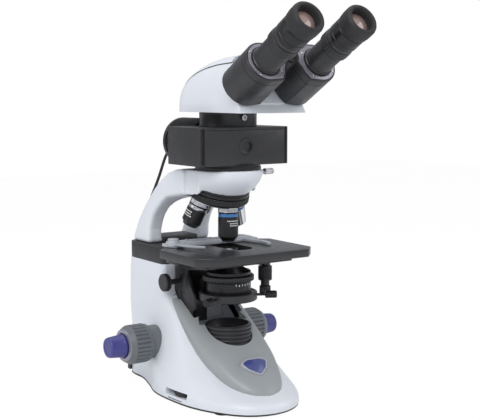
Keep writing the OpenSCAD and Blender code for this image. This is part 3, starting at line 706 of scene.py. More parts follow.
class MICROSCOPE_OT_focus_drive(bpy.types.Operator):
    """Turns the coarse and fine knobs and their still collars"""

    bl_idname = "microscope.focus_drive"
    bl_label = "Focus drive"

    def execute(self, context):
        ribs = context.scene.microscope_sizes.knob_ribs
        coarse, scales, fine, collars = [], [], [], []
        knob = turned("knob", [(4, 64.4), (20.4, 64.4), (21.2, 65), (21.2, 67.4), (21.6, 67.8),
                               (22, 68.6), (22, 69.4), (22, 85.6), (22, 86), (21.6, 87.4),
                               (20.6, 88.6), (19.4, 91), (18.6, 92.2), (14, 92.2), (13.6, 91.4),
                               (4, 91.4), (4, 64.4)], ribs * 4)
        flute(knob, ribs, 1.3, 69.2, 85.8, 21.5, (0,))
        scale = turned("scale", [(14.3, 91.8), (18.4, 91.8), (18.2, 93), (14.6, 93.4),
                                 (14.3, 91.8)], 96)
        ticks = [copy(block("tick", 16.4, 18.1, -0.1, 0.1, 92.9, 93.25), turn("Z", a), "tick")
                 for a in range(0, 360, 9)]
        for extra in [o for o in bpy.data.objects if o.name.startswith("tick")
                      and o not in ticks]:
            bpy.data.objects.remove(extra)
        marks = joined("scale_marks", *ticks)
        small = turned("fine", [(12.4, 92.8), (13, 93.6), (13.2, 94.4), (13.2, 96.2),
                                (12.8, 97), (12.7, 97.4), (11.5, 110.4), (11.4, 111),
                                (10.6, 112.6), (9.4, 113), (7.6, 113), (7.1, 112.4),
                                (0, 112.4)], 144)
        flute(small, 36, 0.18, 97.2, 110.8, 11)
        collar = turned("collar", [(6.2, 45), (17.6, 45), (18.5, 46), (18.5, 50), (18.1, 50.4),
                                   (18.1, 51.2), (18.5, 51.6), (18.5, 62.4), (17.8, 63.7),
                                   (6.2, 63.7), (6.2, 45)])
        for side in (1, -1):
            aim = turn("Y", 90 * side)
            for source, group in ((knob, coarse), (scale, scales), (marks, scales),
                                  (small, fine), (collar, collars)):
                group.append(copy(source, aim, source.name))
        for source in (knob, scale, small, collar, marks):
            bpy.data.objects.remove(source)
        finish(joined("coarse_knob_pair", *coarse), "coarse_drive", MATERIALS["knob"],
               "gray_plastic", "coarse_knobs", matrix=SHAFT)
        rings = joined("graduated_rings", scales[0], scales[2])
        finish(rings, "coarse_drive", MATERIALS["plate"], "gray_plastic", matrix=SHAFT)
        lines = joined("graduated_marks", scales[1], scales[3])
        finish(lines, "coarse_drive", MATERIALS["plastic"], "gray_plastic", matrix=SHAFT,
               angle=0)
        finish(joined("fine_knob_pair", *fine), "fine_drive", MATERIALS["blue"],
               "blue_plastic", "fine_knobs", matrix=SHAFT)
        pin = turned("fine_shaft_ends", [(2.9, -94), (2.9, 94)], 32)
        place(pin, turn("Y", 90))
        finish(pin, "fine_drive", MATERIALS["steel"], "steel", matrix=SHAFT)
        finish(joined("shaft_collar_pair", *collars), "stand", MATERIALS["knob"],
               "gray_plastic", "shaft_collars", matrix=SHAFT)
        return {"FINISHED"}


# ---------------------------------------------------------------- arm


class MICROSCOPE_OT_arm(bpy.types.Operator):
    """Models the dark collar on the column and the white arm that carries the optics"""

    bl_idname = "microscope.arm"
    bl_label = "Collar and arm"

    def execute(self, context):
        collar = slab("column_collar", rounded([(-46, 64, 6), (46, 64, 6), (46, 146, 13),
                                                (-46, 146, 13)], 7), COLUMN_TOP, ARM_Z, 0.8)
        sill = block("sill", -24.4, 24.4, 101, 133, ARM_Z - 4, 168, 2, 3)
        weld(collar, sill)
        notch = block("notch", -33, 33, 50, 64.5, 100, 170)
        cut(collar, notch)
        finish(collar, "stand", MATERIALS["plastic"], "black_plastic", "arm_collar",
               matrix=STAND)
        side = [(142, ARM_Z), (139, 168), (132.5, 179), (125, 191), (114, 204), (102, 216),
                (90, 227), (76, 237.5), (61, 246), (46, 250.5), (34, 252), (0, 252), (0, 226),
                (30, 223), (52, 220), (65, 217), (75, 211), (85, 203), (93, 195), (98, 187),
                (101.5, 178), (102, 170), (102, ARM_Z)]
        arm = slab("arm", side, -42.5, 42.5, 6.5, 4)
        place(arm, turn("Z", 90) @ turn("X", 90))
        low = [STAND.inverted() @ TURRET @ Vector((33.6 * math.cos(a), 33.6 * math.sin(a), 15.5))
               for a in (math.tau * k / 96 for k in range(96))]
        high = [Vector((38 * math.cos(a), 38 * math.sin(a), 252))
                for a in (math.tau * k / 96 for k in range(96))]
        bowl = sheet("bowl", [[p * (1 - t) ** 2 + (q - Vector((0, 0, 14))) * 2 * t * (1 - t)
                               + q * t * t for p, q in zip(low, high)]
                              for t in (k / 12 for k in range(13))], True)
        grip = slab("grip", rounded([(-24.6, 165, 1), (24.6, 165, 1), (24.6, 216, 15),
                                     (-24.6, 216, 15)], 7), -170, -60)
        place(grip, turn("X", 90))
        cheeks = [block("cheek", x, x + 40, -60, 24, 200, 260) for x in (-78, 38)]
        disc = turned("disc", [(37.6, -80), (37.6, 15.6)])
        place(disc, SCALE.inverted() @ Matrix.Translation((0, -AXIS_Y, 0)) @ TURRET)
        foot = block("foot", -60, 60, 60, 170, 120, ARM_Z + 0.05)
        cut(arm, *cheeks)
        weld(arm, bowl)
        cut(arm, grip, disc)
        soften(arm, 1.3, 7)
        cut(arm, foot)
        finish(arm, "stand", MATERIALS["white"], "white_paint", "upper_arm", matrix=STAND,
               angle=50)
        return {"FINISHED"}


# ---------------------------------------------------------------- nosepiece


class MICROSCOPE_OT_nosepiece(bpy.types.Operator):
    """Turns the still disc and the turning disc that carries the objectives"""

    bl_idname = "microscope.nosepiece"
    bl_label = "Nosepiece"

    def execute(self, context):
        still = turned("turret_seat", [(6, 9.4), (32.6, 9.4), (33.4, 10), (33.4, 12.8), (32.6, 13.4),
                                       (32.6, 16), (6, 16), (6, 9.4)])
        finish(still, "stand", MATERIALS["anodised"], "black_anodised", "turret_base",
               matrix=TURRET)
        disc = turned("turret_ring", [(31.2, 0), (32.8, 0.8), (33.6, 2), (33.6, 2.4), (34, 2.8), (34, 3.4),
                                      (34, 7.8), (33.4, 8.6), (32.6, 9)], 192)
        flute(disc, 48, 0.6, 3.2, 8.0, 33.7)
        finish(disc, "turret", MATERIALS["anodised"], "steel", "turret_disc", matrix=TURRET)
        plate = turned("turret_plate", [(31.4, -0.6), (31.6, 0.4)])
        cap = turned("turret_cap", [(7, -3.6), (8.4, -2.8), (9.4, -0.4)])
        weld(plate, cap)
        finish(plate, "turret", MATERIALS["steel"], "steel", matrix=TURRET)
        return {"FINISHED"}


# Objectives: node, quarter turn, length, tip radius, ring colour, barrel finish
OBJECTIVES = [("objective_front", 0, 40.2, 6.4, "ring_blue", "anodised"),
              ("objective_right", 1, 38.0, 4.0, "ring_blue", "chrome"),
              ("objective_back", 2, 30.0, 7.0, "ring_red", "anodised"),
              ("objective_left", 3, 33.0, 7.6, "steel", "anodised")]


class MICROSCOPE_OT_objectives(bpy.types.Operator):
    """Turns the four objectives with their knurls, colour rings and white marks"""

    bl_idname = "microscope.objectives"
    bl_label = "Objectives"

    def execute(self, context):
        for node, quarter, length, tip, ring, barrel in OBJECTIVES:
            seat = (TURRET @ turn("Z", 90 * quarter) @ shift(0, -SEAT_R, 0)
                    @ turn("X", -TURRET_TILT))
            shoulder = -length * 0.86
            body = turned(node + "_barrel", [
                (9.6, -8.2), (10.9, -8.4), (10.9, -9), (10.3, -9.2), (10.3, -13), (11.1, -13.4),
                (11.1, shoulder), (10.7, shoulder - 0.4), (10.3, shoulder - 0.6),
                (9.8, shoulder - 1), (tip + 1.4, -length + 2), (tip + 0.9, -length + 1.6),
                (tip + 0.9, -length + 0.8), (tip + 0.3, -length), (tip * 0.62, -length),
                (tip * 0.55, -length + 0.9)])
            finish(body, "turret", MATERIALS[barrel], "black_anodised", node, matrix=seat)
            knurl = turned(node + "_knurl", [(8, 0.2), (10.4, 0.1), (11, -0.5), (11, -1),
                                             (11, -7), (11, -7.5), (10.4, -8.2), (8, -8.2),
                                             (8, 0.2)], 192)
            flute(knurl, 48, 0.35, -7.2, -0.8, 10.8)
            finish(knurl, "turret", MATERIALS["steel"], "chrome", matrix=seat)
            band = turned(node + "_band", [(10, -9.3), (10.75, -9.4), (10.85, -9.7),
                                           (10.85, -12.5), (10.75, -12.8), (10, -12.9),
                                           (10, -9.3)])
            finish(band, "turret", MATERIALS[ring], "badge", matrix=seat)
            lens = turned(node + "_lens", [(tip * 0.55, -length + 0.8), (tip * 0.4, -length + 0.4),
                                           (0, -length + 0.3)], 32)
            finish(lens, "turret", MATERIALS["lens"], "glass", matrix=seat)
            lines = []
            for k, (z, width) in enumerate(((-17.5, 70), (-20.2, 52), (-22.6, 60))):
                if z < shoulder + 2:
                    continue
                for a in range(-width // 2, width // 2, 8):
                    mark = block("mark", -0.5, 0.5, -11.16, -11.0, z, z + 1.1)
                    lines.append(place(mark, turn("Z", a + 5 * k)))
            marks = joined(node + "_marks", *lines)
            finish(marks, "turret", MATERIALS["mark" if barrel == "anodised" else "plastic"],
                   "badge", matrix=seat, angle=0)
        return {"FINISHED"}


# ---------------------------------------------------------------- filter block


class MICROSCOPE_OT_filter_block(bpy.types.Operator):
    """Models the filter block with its ring, clamp screw, plug and ends"""

    bl_idname = "microscope.filter_block"
    bl_label = "Filter block"

    def execute(self, context):
        black = MATERIALS["black"]
        ring = turned("block_ring", [(14, 252), (35, 252), (36, 252.8), (36, 255.2),
                                     (35.2, 256), (35.2, 258), (14, 258), (14, 252)])
        cut(ring, block("flat", -40, 40, 32.5, 50, 250, 260))
        finish(ring, "stand", MATERIALS["anodised"], "black_anodised", "mount_ring",
               matrix=STAND)
        body = slab("block_body", rounded([(-50.5, -32.5, 2), (53.6, -32.5, 2), (53.6, 32.5, 2),
                                           (-50.5, 32.5, 2)]), BLOCK_Z, BLOCK_TOP - 3.2, 0.5)
        port = turned("port", [(9, 0), (9, 12)])
        place(port, shift(1, -29.8, 278) @ turn("X", 90))
        cut(body, port)
        finish(body, "stand", black, "black_paint", "filter_housing", matrix=STAND)
        lid = slab("block_lid", rounded([(-50.5, -32.5, 2), (53.6, -32.5, 2), (53.6, 32.5, 2),
                                         (-50.5, 32.5, 2)]), BLOCK_TOP - 2.8, BLOCK_TOP, 0.5)
        finish(lid, "stand", black, "black_paint", matrix=STAND)
        seam = block("block_seam", -50, 53, -32, 32, BLOCK_TOP - 3.3, BLOCK_TOP - 2.7, 0.1)
        finish(seam, "stand", MATERIALS["rubber"], "rubber", matrix=STAND)
        left = block("cap", -56.5, -50.7, -32.5, 32.5, BLOCK_Z, BLOCK_TOP, 0.7)
        cut(left, block("strip", -55.2, -51.6, -36, -30.5, BLOCK_Z + 2, BLOCK_TOP - 2, 0.5))
        right = block("cap", 53.8, 56.5, -32.5, 32.5, BLOCK_Z, BLOCK_TOP, 0.7)
        finish(joined("block_ends", left, right), "stand", MATERIALS["plastic"], "black_paint",
               "end_caps", matrix=STAND)
        plug = turned("block_plug", [(8.9, 0), (8.9, 2.4), (8.3, 3), (7.2, 3), (6.8, 2.6)])
        cut(plug, place(turned("dip", [(5.4, 1.2), (5.4, 5)]), shift(2.2, 0, 0)))
        bevel(plug, 0.2, 1)
        finish(plug, "stand", MATERIALS["plastic"], "black_plastic", "port_plug",
               matrix=STAND @ shift(1, -29.7, 278) @ turn("X", 90))
        stem = turned("clamp_stem", [(1.5, 36), (1.5, 49)], 24)
        head = turned("clamp_head", [(2.4, 48), (3.3, 48.4), (3.5, 49), (3.5, 49.4), (3.5, 58.6),
                                     (3.5, 59), (3.1, 59.8), (1.2, 60)], 96)
        flute(head, 24, 0.3, 49.2, 58.8, 3.3)
        aim = STAND @ shift(0, 0, 247.5) @ turn("Y", 90)
        finish(stem, "block_clamp", MATERIALS["steel"], "steel", matrix=aim)
        finish(head, "block_clamp", MATERIALS["steel"], "steel", "clamp_screw", matrix=aim)
        return {"FINISHED"}


class MICROSCOPE_OT_lamp_house(bpy.types.Operator):
    """Turns the finned lamp house and lays its lead down behind the arm"""

    bl_idname = "microscope.lamp_house"
    bl_label = "Lamp house"

    # The lead's way down behind the arm, in millimetres behind the optical axis and up
    ROUTE = [(101, 268), (106, 268), (112, 266), (119, 258), (126, 246), (134, 233),
             (145, 218), (156, 203), (165, 187), (171, 170), (174, 152), (174, 134),
             (173, 116), (172, 98), (171, 80), (171, 64), (170, 54), (167, 46), (162, 42),
             (156, 42)]
    LEAD_X = -10
    LEAD_R = 1.7

    def execute(self, context):
        pitch = context.scene.microscope_sizes.fin_pitch
        low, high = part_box("lamp_house")
        radius = (high.x - low.x) / 2 / MM
        place_z = middle("lamp_house").z / MM
        place_z = high.z / MM - radius
        profile = [(10, 0), (24, 0), (24, 5.6)]
        h = 6.0
        while h + 2.4 < 62:
            profile += [(23.6, h), (radius - 0.3, h), (radius, h + 0.3), (radius, h + 1.7),
                        (radius - 0.3, h + 2), (23.6, h + 2)]
            h += pitch
        profile += [(23.6, 57.6), (radius - 0.4, 57.6), (radius, 58), (radius, 61.2),
                    (radius - 0.8, 62), (20, 62), (19, 61.2), (10, 61.2), (10, 0)]
        house = turned("lamp_fins", profile, 96)
        finish(house, "stand", MATERIALS["anodised"], "black_anodised", "lamp_house",
               matrix=STAND @ shift(0, 32.5, place_z) @ turn("X", -90))
        cover = turned("lamp_cover", [(10.5, 60.4), (10.5, 61), (9.8, 61.5)])
        finish(cover, "stand", MATERIALS["plastic"], "black_plastic",
               matrix=STAND @ shift(0, 32.5, place_z) @ turn("X", -90))
        gland = turned("lamp_gland", [(4.6, 61.4), (4.6, 64), (4, 64.6), (3.4, 64.8), (3.4, 66),
                                      (3, 66.2), (3.2, 67), (2.5, 68.5)], 32)
        finish(gland, "stand", MATERIALS["rubber"], "rubber",
               matrix=STAND @ shift(self.LEAD_X, 32.5, 268) @ turn("X", -90))
        points = [(self.LEAD_X * MM, y * MM + AXIS_Y, z * MM) for y, z in self.ROUTE]
        curve = bpy.data.curves.new("lead", "CURVE")
        curve.dimensions = "3D"
        curve.bevel_depth = self.LEAD_R * MM
        curve.bevel_resolution = 4
        curve.resolution_u = 6
        strand = curve.splines.new("NURBS")
        strand.points.add(len(points) - 1)
        for point, place_ in zip(strand.points, points):
            point.co = (*place_, 1)
        strand.order_u = 4
        strand.use_endpoint_u = True
        lead = bpy.data.objects.new("lead", curve)
        context.collection.objects.link(lead)
        curve.materials.append(MATERIALS["rubber"])
        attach(lead, "stand")
        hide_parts("lamp_lead")
        plug = turned("lead_plug_grip", [(5.6, 136.2), (5.6, 144), (5, 145.4), (4.2, 146),
                                         (3.8, 147.6), (3.5, 147.8), (3.5, 148.8), (3.1, 149),
                                         (3.1, 151), (2.7, 151.2), (2.7, 153.4), (2.3, 156)], 32)
        finish(plug, "stand", MATERIALS["plastic"], "black_plastic", "lead_plug",
               matrix=STAND @ shift(self.LEAD_X, 0, 42) @ turn("X", -90))
        return {"FINISHED"}


# ---------------------------------------------------------------- head

# Stations of the head from back to front: y, half width, top
HEAD_SHAPE = [(56.5, 14, 318), (55.5, 20, 323), (53, 26.5, 331), (49, 31.5, 339),
              (43, 34.5, 346.5), (34, 35.8, 353.5), (24, 36, 359), (12, 36, 363.6),
              (0, 36, 367), (-12, 36, 369.4), (-26, 36.4, 371.4), (-42, 37.2, 372.6),
              (-56, 38.4, 373.2), (-70, 39.6, 373.4), (-84, 40.5, 373.4)]


def head_section(y, half, top, grow, start, stop, steps):
    """Points round one section of the head, from one angle to another."""
    bottom = HEAD_Z
    points = []
    for k in range(steps + 1):
        a = math.radians(start + (stop - start) * k / steps)
        c, s = math.cos(a), math.sin(a)
        x = (half + grow) * math.copysign(abs(c) ** 0.42, c)
        z = bottom + (top + grow - bottom) * abs(s) ** 0.62
        points.append(Vector((x, y, z)))
    return points


class MICROSCOPE_OT_head(bpy.types.Operator):
    """Models the neck ring, the head casting and its crowned roof"""

    bl_idname = "microscope.head"
    bl_label = "Neck and head"

    def execute(self, context):
        radius = (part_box("neck_ring")[1].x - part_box("neck_ring")[0].x) / 2 / MM
        neck = turned("neck", [(22, BLOCK_TOP), (radius - 0.6, BLOCK_TOP),
                               (radius - 0.2, BLOCK_TOP + 0.4), (radius - 0.2, HEAD_Z - 3),
                               (radius, HEAD_Z - 2.7),
                               (radius, HEAD_Z - 0.8), (radius - 0.5, HEAD_Z - 0.3),
                               (22, HEAD_Z - 0.3), (22, BLOCK_TOP)], 96)
        finish(neck, "stand", MATERIALS["anodised"], "black_anodised", "neck_ring",
               matrix=STAND)
        screw = turned("neck_screw_head", [(1.9, 26), (1.9, 31.8), (3, 31.8), (3.2, 32.1),
                                           (3.2, 34.6), (2.8, 35), (1.7, 35)], 48)
        cut(screw, turned("hex", [(1.5, 33.2), (1.5, 37)], 6))
        finish(screw, "neck_lock", MATERIALS["steel"], "steel", "neck_screw",
               matrix=STAND @ shift(-2, 0, BLOCK_TOP + 10) @ turn("X", 90))
        stations = spline(HEAD_SHAPE, 3, False)
        front = block("front", -90, 90, -120, 120, -1.5, 200)
        place(front, STAND.inverted() @ HEAD)
        casting = sheet("head_casting", [
            head_section(y, w, t, 0, 0, 180, 40) + [Vector((x * w, y, HEAD_Z))
                                                    for x in (-0.5, 0, 0.5)]
            for y, w, t in stations], True)
        bevel(casting, 0.8, 2, 60)
        cut(casting, copy(front, Matrix(), "front_copy"))
        boss = slab("boss", rounded([(-24, -19, 6), (24, -19, 6), (39, -6, 8), (40, 9, 6),
                                     (25, 21, 6), (-25, 21, 6), (-40, 9, 6), (-39, -6, 8)]),
                    -14, -0.2, 0.8)
        place(boss, STAND.inverted() @ HEAD)
        weld(casting, boss)
        finish(casting, "head", MATERIALS["white"], "white_paint", "head_base", matrix=STAND,
               angle=40)
        roof = sheet("head_cover", [
            head_section(y, w, t, 0.45, 52, 128, 30)
            + list(reversed(head_section(y, w, t, -2, 56, 124, 6)))
            for y, w, t in stations[4:]], True)
        bevel(roof, 0.35, 2, 50)
        seam = sheet("head_seam", [
            head_section(y, w, t, 0.22, 50, 130, 30)
            + list(reversed(head_section(y, w, t, -2, 56, 124, 6)))
            for y, w, t in stations[3:]], True)
        cut(seam, copy(front, Matrix(), "front_twin"))
        finish(seam, "head", MATERIALS["rubber"], "rubber", matrix=STAND)
        cut(roof, front)
        finish(roof, "head", MATERIALS["white"], "white_paint", "head_roof", matrix=STAND,
               angle=40)
        return {"FINISHED"}


class MICROSCOPE_OT_prisms(bpy.types.Operator):
    """Models the two folding prism housings, their plates and the hinge"""

    bl_idname = "microscope.prisms"
    bl_label = "Prism housings"

    def execute(self, context):
        deep = 49
        for side, word in ((-1, "left"), (1, "right")):
            centre = side * EYE_HALF
            arc = [(centre + side * 22 * math.cos(math.radians(a)),
                    22 * math.sin(math.radians(a))) for a in range(-96, 97, 8)]
            inner = [(side * 24, 22), (side * 9, 21.4), (side * 4.6, 17), (side * 4.2, 6),
                     (side * 11, -13), (side * 16, -20.4)]
            outline = arc + inner
            if side < 0:
                outline.reverse()
            shell = slab(word + "_prism_shell", outline, 0.35, deep, 1.4, 3)
            low, high = (0.4, deep / 2 - 0.25) if side < 0 else (deep / 2 + 0.25, deep)
            knuckle = turned("knuckle", [(9.4, low), (10, low + 0.5), (10, high - 0.5),
                                         (9.4, high)], 64)
            place(knuckle, shift(0, 8, 0))
            gap_low, gap_high = (high + 0.1, 90) if side < 0 else (-9, low - 0.1)
            space = place(turned("space", [(10.6, gap_low), (10.6, gap_high)], 64),
                          shift(0, 8, 0))
            cut(shell, space)
            weld(shell, knuckle)
            seam = block("seam", -90, 90, -90, 90, 40.3, 40.9)
            hollow = slab("keep", [(x * 0.985 + centre * 0.015, y * 0.985)
                                   for x, y in outline], 39, 42)
            cut(seam, hollow)
            cut(shell, seam)
            finish(shell, word + "_prism", MATERIALS["black"], "black_paint",
                   word + "_prism_housing", matrix=HEAD)
            plate = slab(word + "_prism_plate",
                         [((x - centre) * 0.9 + centre, y * 0.9) for x, y in outline],
                         deep - 0.4, deep + 0.55, 0.35)
            hole = place(turned("hole", [(16.6, 40), (16.6, 60)]), shift(centre, 0, 0))
            hinge_hole = place(turned("hole", [(10.8, 40), (10.8, 60)]), shift(0, 8, 0))
            cut(plate, hole, hinge_hole)
            finish(plate, word + "_prism", MATERIALS["plate"], "silver_alloy", matrix=HEAD)
            screws = []
            for a in (35, 145, 235, 325):
                head = turned("screw", [(1.15, deep + 0.3), (1.15, deep + 0.8),
                                        (0.9, deep + 1.0)], 20)
                place(head, shift(centre + 18.4 * math.cos(math.radians(a)),
                                  18.4 * math.sin(math.radians(a)), 0))
                screws.append(head)
            finish(joined(word + "_prism_screws", *screws), word + "_prism",
                   MATERIALS["steel"], "steel", matrix=HEAD)
        pin = turned("hinge_cap", [(5, -11), (5, 49.3), (7.4, 49.4), (7.8, 50), (6.9, 51.8),
                                   (6.4, 52.1), (5.4, 53), (3.4, 53), (3.2, 52.2),
                                   (1, 52.1)], 48)
        cut(pin, block("slot", -0.5, 0.5, -3, 3, 51.7, 54))
        finish(pin, "head", MATERIALS["plastic"], "black_plastic", "hinge_pin",
               matrix=HEAD @ shift(0, 8, 0))
        return {"FINISHED"}


class MICROSCOPE_OT_eyepieces(bpy.types.Operator):
    """Turns the eye tubes, dioptre rings, eyepieces, eyecups and their lenses"""

    bl_idname = "microscope.eyepieces"
    bl_label = "Eyepieces"

    def execute(self, context):
        cup_r = context.scene.microscope_sizes.eyecup_r
        for side, word in ((-1, "left"), (1, "right")):
            seat = HEAD @ shift(side * EYE_HALF, 0, 0)
            tube = turned(word + "_tube", [
                (11.7, 49), (15.6, 49), (15.6, 51), (14.6, 51.8), (14.5, 52.2), (14.5, 76.6),
                (14.1, 77.6), (12.7, 77.7), (12.7, 89), (15.2, 89.2), (15.8, 89.8), (15.8, 93),
                (15.2, 93.8), (11.7, 93.9), (11.7, 49)], 80)
            finish(tube, word + "_prism", MATERIALS["black"], "black_paint",
                   word + "_eye_tube", matrix=seat)
            ring = turned(word + "_diopter", [
                (12.8, 78), (15.6, 78), (16.1, 78.6), (16.1, 79.6), (16.3, 80), (16.3, 80.6),
                (16.3, 86.6), (16.1, 87.2), (16.1, 88.2), (15.6, 88.8), (12.8, 88.8),
                (12.8, 78)], 144)
            flute(ring, 36, 0.5, 80.3, 86.9, 16.2)
            finish(ring, word + "_diopter", MATERIALS["plastic"], "gray_plastic",
                   "diopter_ring_" + word, matrix=seat)
            body = turned(word + "_ocular_body", [
                (9.2, 94.3), (15.4, 94.3), (16.2, 95), (16.2, 98.6), (15.8, 99), (15.8, 100),
                (16.2, 100.4), (16.2, 108.6), (15.6, 109.6), (14.2, 111), (13.4, 112),
                (13.4, 117.4), (12.8, 118.3), (10.2, 118.3), (9.8, 117.6), (9.2, 116),
                (9.2, 94.3)], 80)
            finish(body, word + "_ocular", MATERIALS["anodised"], "black_anodised",
                   word + "_eyepiece", matrix=seat)
            lens = turned(word + "_ocular_lens", [(10.7, 118.4), (10.7, 119.4), (8.4, 120.3),
                                                  (5.4, 121), (2, 121.4), (0, 121.4)], 48)
            finish(lens, word + "_ocular", MATERIALS["lens"], "glass", matrix=seat)
            cup = turned(word + "_cup", [
                (13.5, 111.6), (cup_r - 1.2, 111.6), (cup_r - 0.5, 112.2), (cup_r - 0.5, 114.8),
                (cup_r - 0.1, 115.6), (cup_r, 116.6), (cup_r, 124), (cup_r - 0.5, 126),
                (cup_r - 1.6, 127.4), (cup_r - 3, 128), (cup_r - 4.4, 127.7),
                (cup_r - 5.4, 126.6), (11.2, 122.6), (10.8, 119.6), (13.5, 119),
                (13.5, 111.6)], 80)
            finish(cup, word + "_ocular", MATERIALS["rubber"], "rubber", word + "_eyecup",
                   matrix=seat)
        return {"FINISHED"}


# ---------------------------------------------------------------- stage


def slot_cutter(z0, z1):
    return slab("slot", rounded([(-12, -31, 14.9), (18, -31, 14.9), (18, 35, 14.9),
                                 (-12, 35, 14.9)], 8), z0, z1)


class MICROSCOPE_OT_stage(bpy.types.Operator):
    """Models the stage plate, its spindle and its rails"""

    bl_idname = "microscope.stage"
    bl_label = "Stage"

    def execute(self, context):
        low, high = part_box("stage_plate")
        half = high.x / MM
        top = high.z / MM
        outline = rounded([(half - 13, -64, 2), (half, -51, 2), (half, 25, 3), (55, 38, 3),
                           (-57, 38, 3), (-half, 20, 3), (-half, -51, 2), (-half + 13, -64, 2)])
        plate = slab("stage_top", outline, top - 8.9, top, 0.7, 3)
        cut(plate, slot_cutter(top - 10, top + 1))
        finish(plate, "stage_table", MATERIALS["stage"], "black_paint", matrix=STAND)
        knob_x, knob_y = (v / MM for v in middle("drive_knobs_y").xy - Vector((0, AXIS_Y)))
        spindle = turned("stage_spindle", [(3, 121.4), (3, 137.8), (6, 138), (6, top - 8.8)], 48)
        finish(spindle, "stage_table", MATERIALS["anodised"], "black_anodised",
               matrix=STAND @ shift(knob_x, knob_y, 0))
        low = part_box("stage_plate")[0].z / MM
        tube = turned("stage_spindle_tube", [(2.9, low), (2.9, 138)], 32)
        finish(tube, "stage_table", MATERIALS["steel"], "steel", "stage_plate",
               matrix=STAND @ shift(knob_x, knob_y, 0))
        rail_low, rail_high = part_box("stage_rails")
        r0, r1 = rail_low.z / MM, rail_high.z / MM
        rails = block("stage_slides", -57, 56, -42, 38, r0, r1, 0.5)
        cut(rails, slot_cutter(r0 - 1, r1 + 1),
            block("groove", -52.5, -46.5, -50, 45, r1 - 1.4, r1 + 1),
            block("groove", 45.5, 51.5, -50, 45, r1 - 1.4, r1 + 1))
        finish(rails, "stage_lift", MATERIALS["plastic"], "black_paint", "stage_rails",
               matrix=STAND)
        for x in (-49.5, 48.5):
            strip = block("slide_strip", x - 2, x + 2, -41.6, 37.6, r1 - 1.5, r1 - 0.5, 0.2)
            finish(strip, "stage_lift", MATERIALS["steel"], "steel", matrix=STAND)
        return {"FINISHED"}


class MICROSCOPE_OT_carrier(bpy.types.Operator):
    """Models the carrier that lifts the stage on the column"""

    bl_idname = "microscope.carrier"
    bl_label = "Stage carrier"

    def execute(self, context):
        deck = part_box("stage_rails")[0].z / MM
        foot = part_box("stage_carrier")[0].z / MM
        carrier = block("carrier_form", -32, 32, 46.2, 60.6, 96, deck - 0.1, 0.8)
        rib = slab("rib", rounded([(47, 96, 1), (22, 94, 5), (20, 97, 3), (20, 112, 4),
                                   (34, 131, 4), (34, 139, 3), (-20, deck - 5, 2),
                                   (-20, deck - 0.1, 0.5), (47, deck - 0.1, 0.5)]), 0, 3, 0.5)
        place(rib, turn("Z", 90) @ turn("X", 90))
        for x in (-32, 29):
            weld(carrier, copy(rib, shift(x, 0, 0), "rib_twin"))
        bpy.data.objects.remove(rib)
        shelf = block("shelf", -50, 50, 24, 50, deck - 5, deck - 0.1, 0.6)
        weld(carrier, shelf)
        rack = block("rack", -7.5, 7.5, 55, 61.4, foot, 110, 0.5)
        weld(carrier, rack)
        cut(carrier, turned("bore", [(31, deck - 8), (31, deck + 2)]),
            block("bay", -20, 20, -30, 40, deck - 8, deck + 2),
            block("way", -15.3, 15.3, 40, 48.4, 90, 144.5))
        finish(carrier, "stage_lift", MATERIALS["black"], "black_paint", "stage_carrier",
               matrix=STAND)
        return {"FINISHED"}


class MICROSCOPE_OT_holder(bpy.types.Operator):
    """Models the specimen holder's bar, its still finger and the sprung finger"""

    bl_idname = "microscope.holder"
    bl_label = "Specimen holder"

    def execute(self, context):
        low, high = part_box("slide_holder")
        z0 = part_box("stage_plate")[1].z / MM + 0.3
        z1 = z0 + 4.7
        bar = slab("holder_bar", rounded([(-60, 26.5, 3), (-53, 20.2, 3), (55, 20.2, 2),
                                          (55, 42, 2), (-60, 42, 2)]), z0, z1 - 1.6, 0.4)
        rail = block("rail", -37.8, 50, 26, 42, z1 - 3, z1, 0.5)
        weld(bar, rail)
        finger = slab("finger", rounded([(43, 22, 1), (47.4, -4, 6), (44.4, -20, 2),
                                         (40.4, -22, 1), (39, -20, 1), (41, -4, 5),
                                         (34, 22, 1)]), z0, z1 - 1.5, 0.35)
        weld(bar, finger)
        cut(bar, block("groove", -32, 46, 30, 32.4, z1 - 0.8, z1 + 1),
            block("under", -50, 50, 38.3, 43, z0 - 2, z0 + 1))
        finish(bar, "specimen_holder", MATERIALS["silver"], "silver_alloy", "slide_holder",
               matrix=STAND)
        screws = []
        for x in (-30, 0, 42):
            screw = turned("screw", [(2.4, z1 - 0.4), (2.4, z1 + 0.7), (2, z1 + 1),
                                     (1.2, z1 + 1)], 24)
            cut(screw, block("slot", -0.3, 0.3, -3, 3, z1 + 0.5, z1 + 2))
            screws.append(place(screw, shift(x, 37, 0)))
        finish(joined("holder_screws", *screws), "specimen_holder", MATERIALS["steel"],
               "steel", matrix=STAND)
        pin_place = (joint_place("clip_open").translation - STAND.translation) / MM
        boss_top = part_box("clip_finger")[1].z / MM
        pin = turned("holder_pin", [(3, z0 + 1), (3, boss_top - 0.4), (2.6, boss_top)], 32)
        finish(place(pin, shift(pin_place.x, pin_place.y, 0)), "specimen_holder",
               MATERIALS["steel"], "steel", matrix=STAND)
        lift = z1 - 2.6
        hub = turned("clip_hub", [(7.4, lift), (8, lift + 0.5), (8, lift + 3.2),
                                  (7.6, lift + 3.6), (6.2, lift + 3.6), (6, lift + 4.2),
                                  (6, boss_top - 0.6), (5.5, boss_top), (3.1, boss_top),
                                  (3.1, boss_top - 0.8)], 64)
        place(hub, shift(pin_place.x, pin_place.y, 0))
        blade = slab("blade", rounded([(-57.2, 30, 1), (-53, 8, 8), (-45, -7, 6),
                                       (-38, -13, 1), (-36.6, -11, 1), (-42, -2, 5),
                                       (-46, 12, 8), (-44.8, 30, 1)]), lift, z1 - 0.2, 0.35)
        weld(hub, blade)
        finish(hub, "clip", MATERIALS["silver"], "silver_alloy", "clip_finger", matrix=STAND)
        return {"FINISHED"}


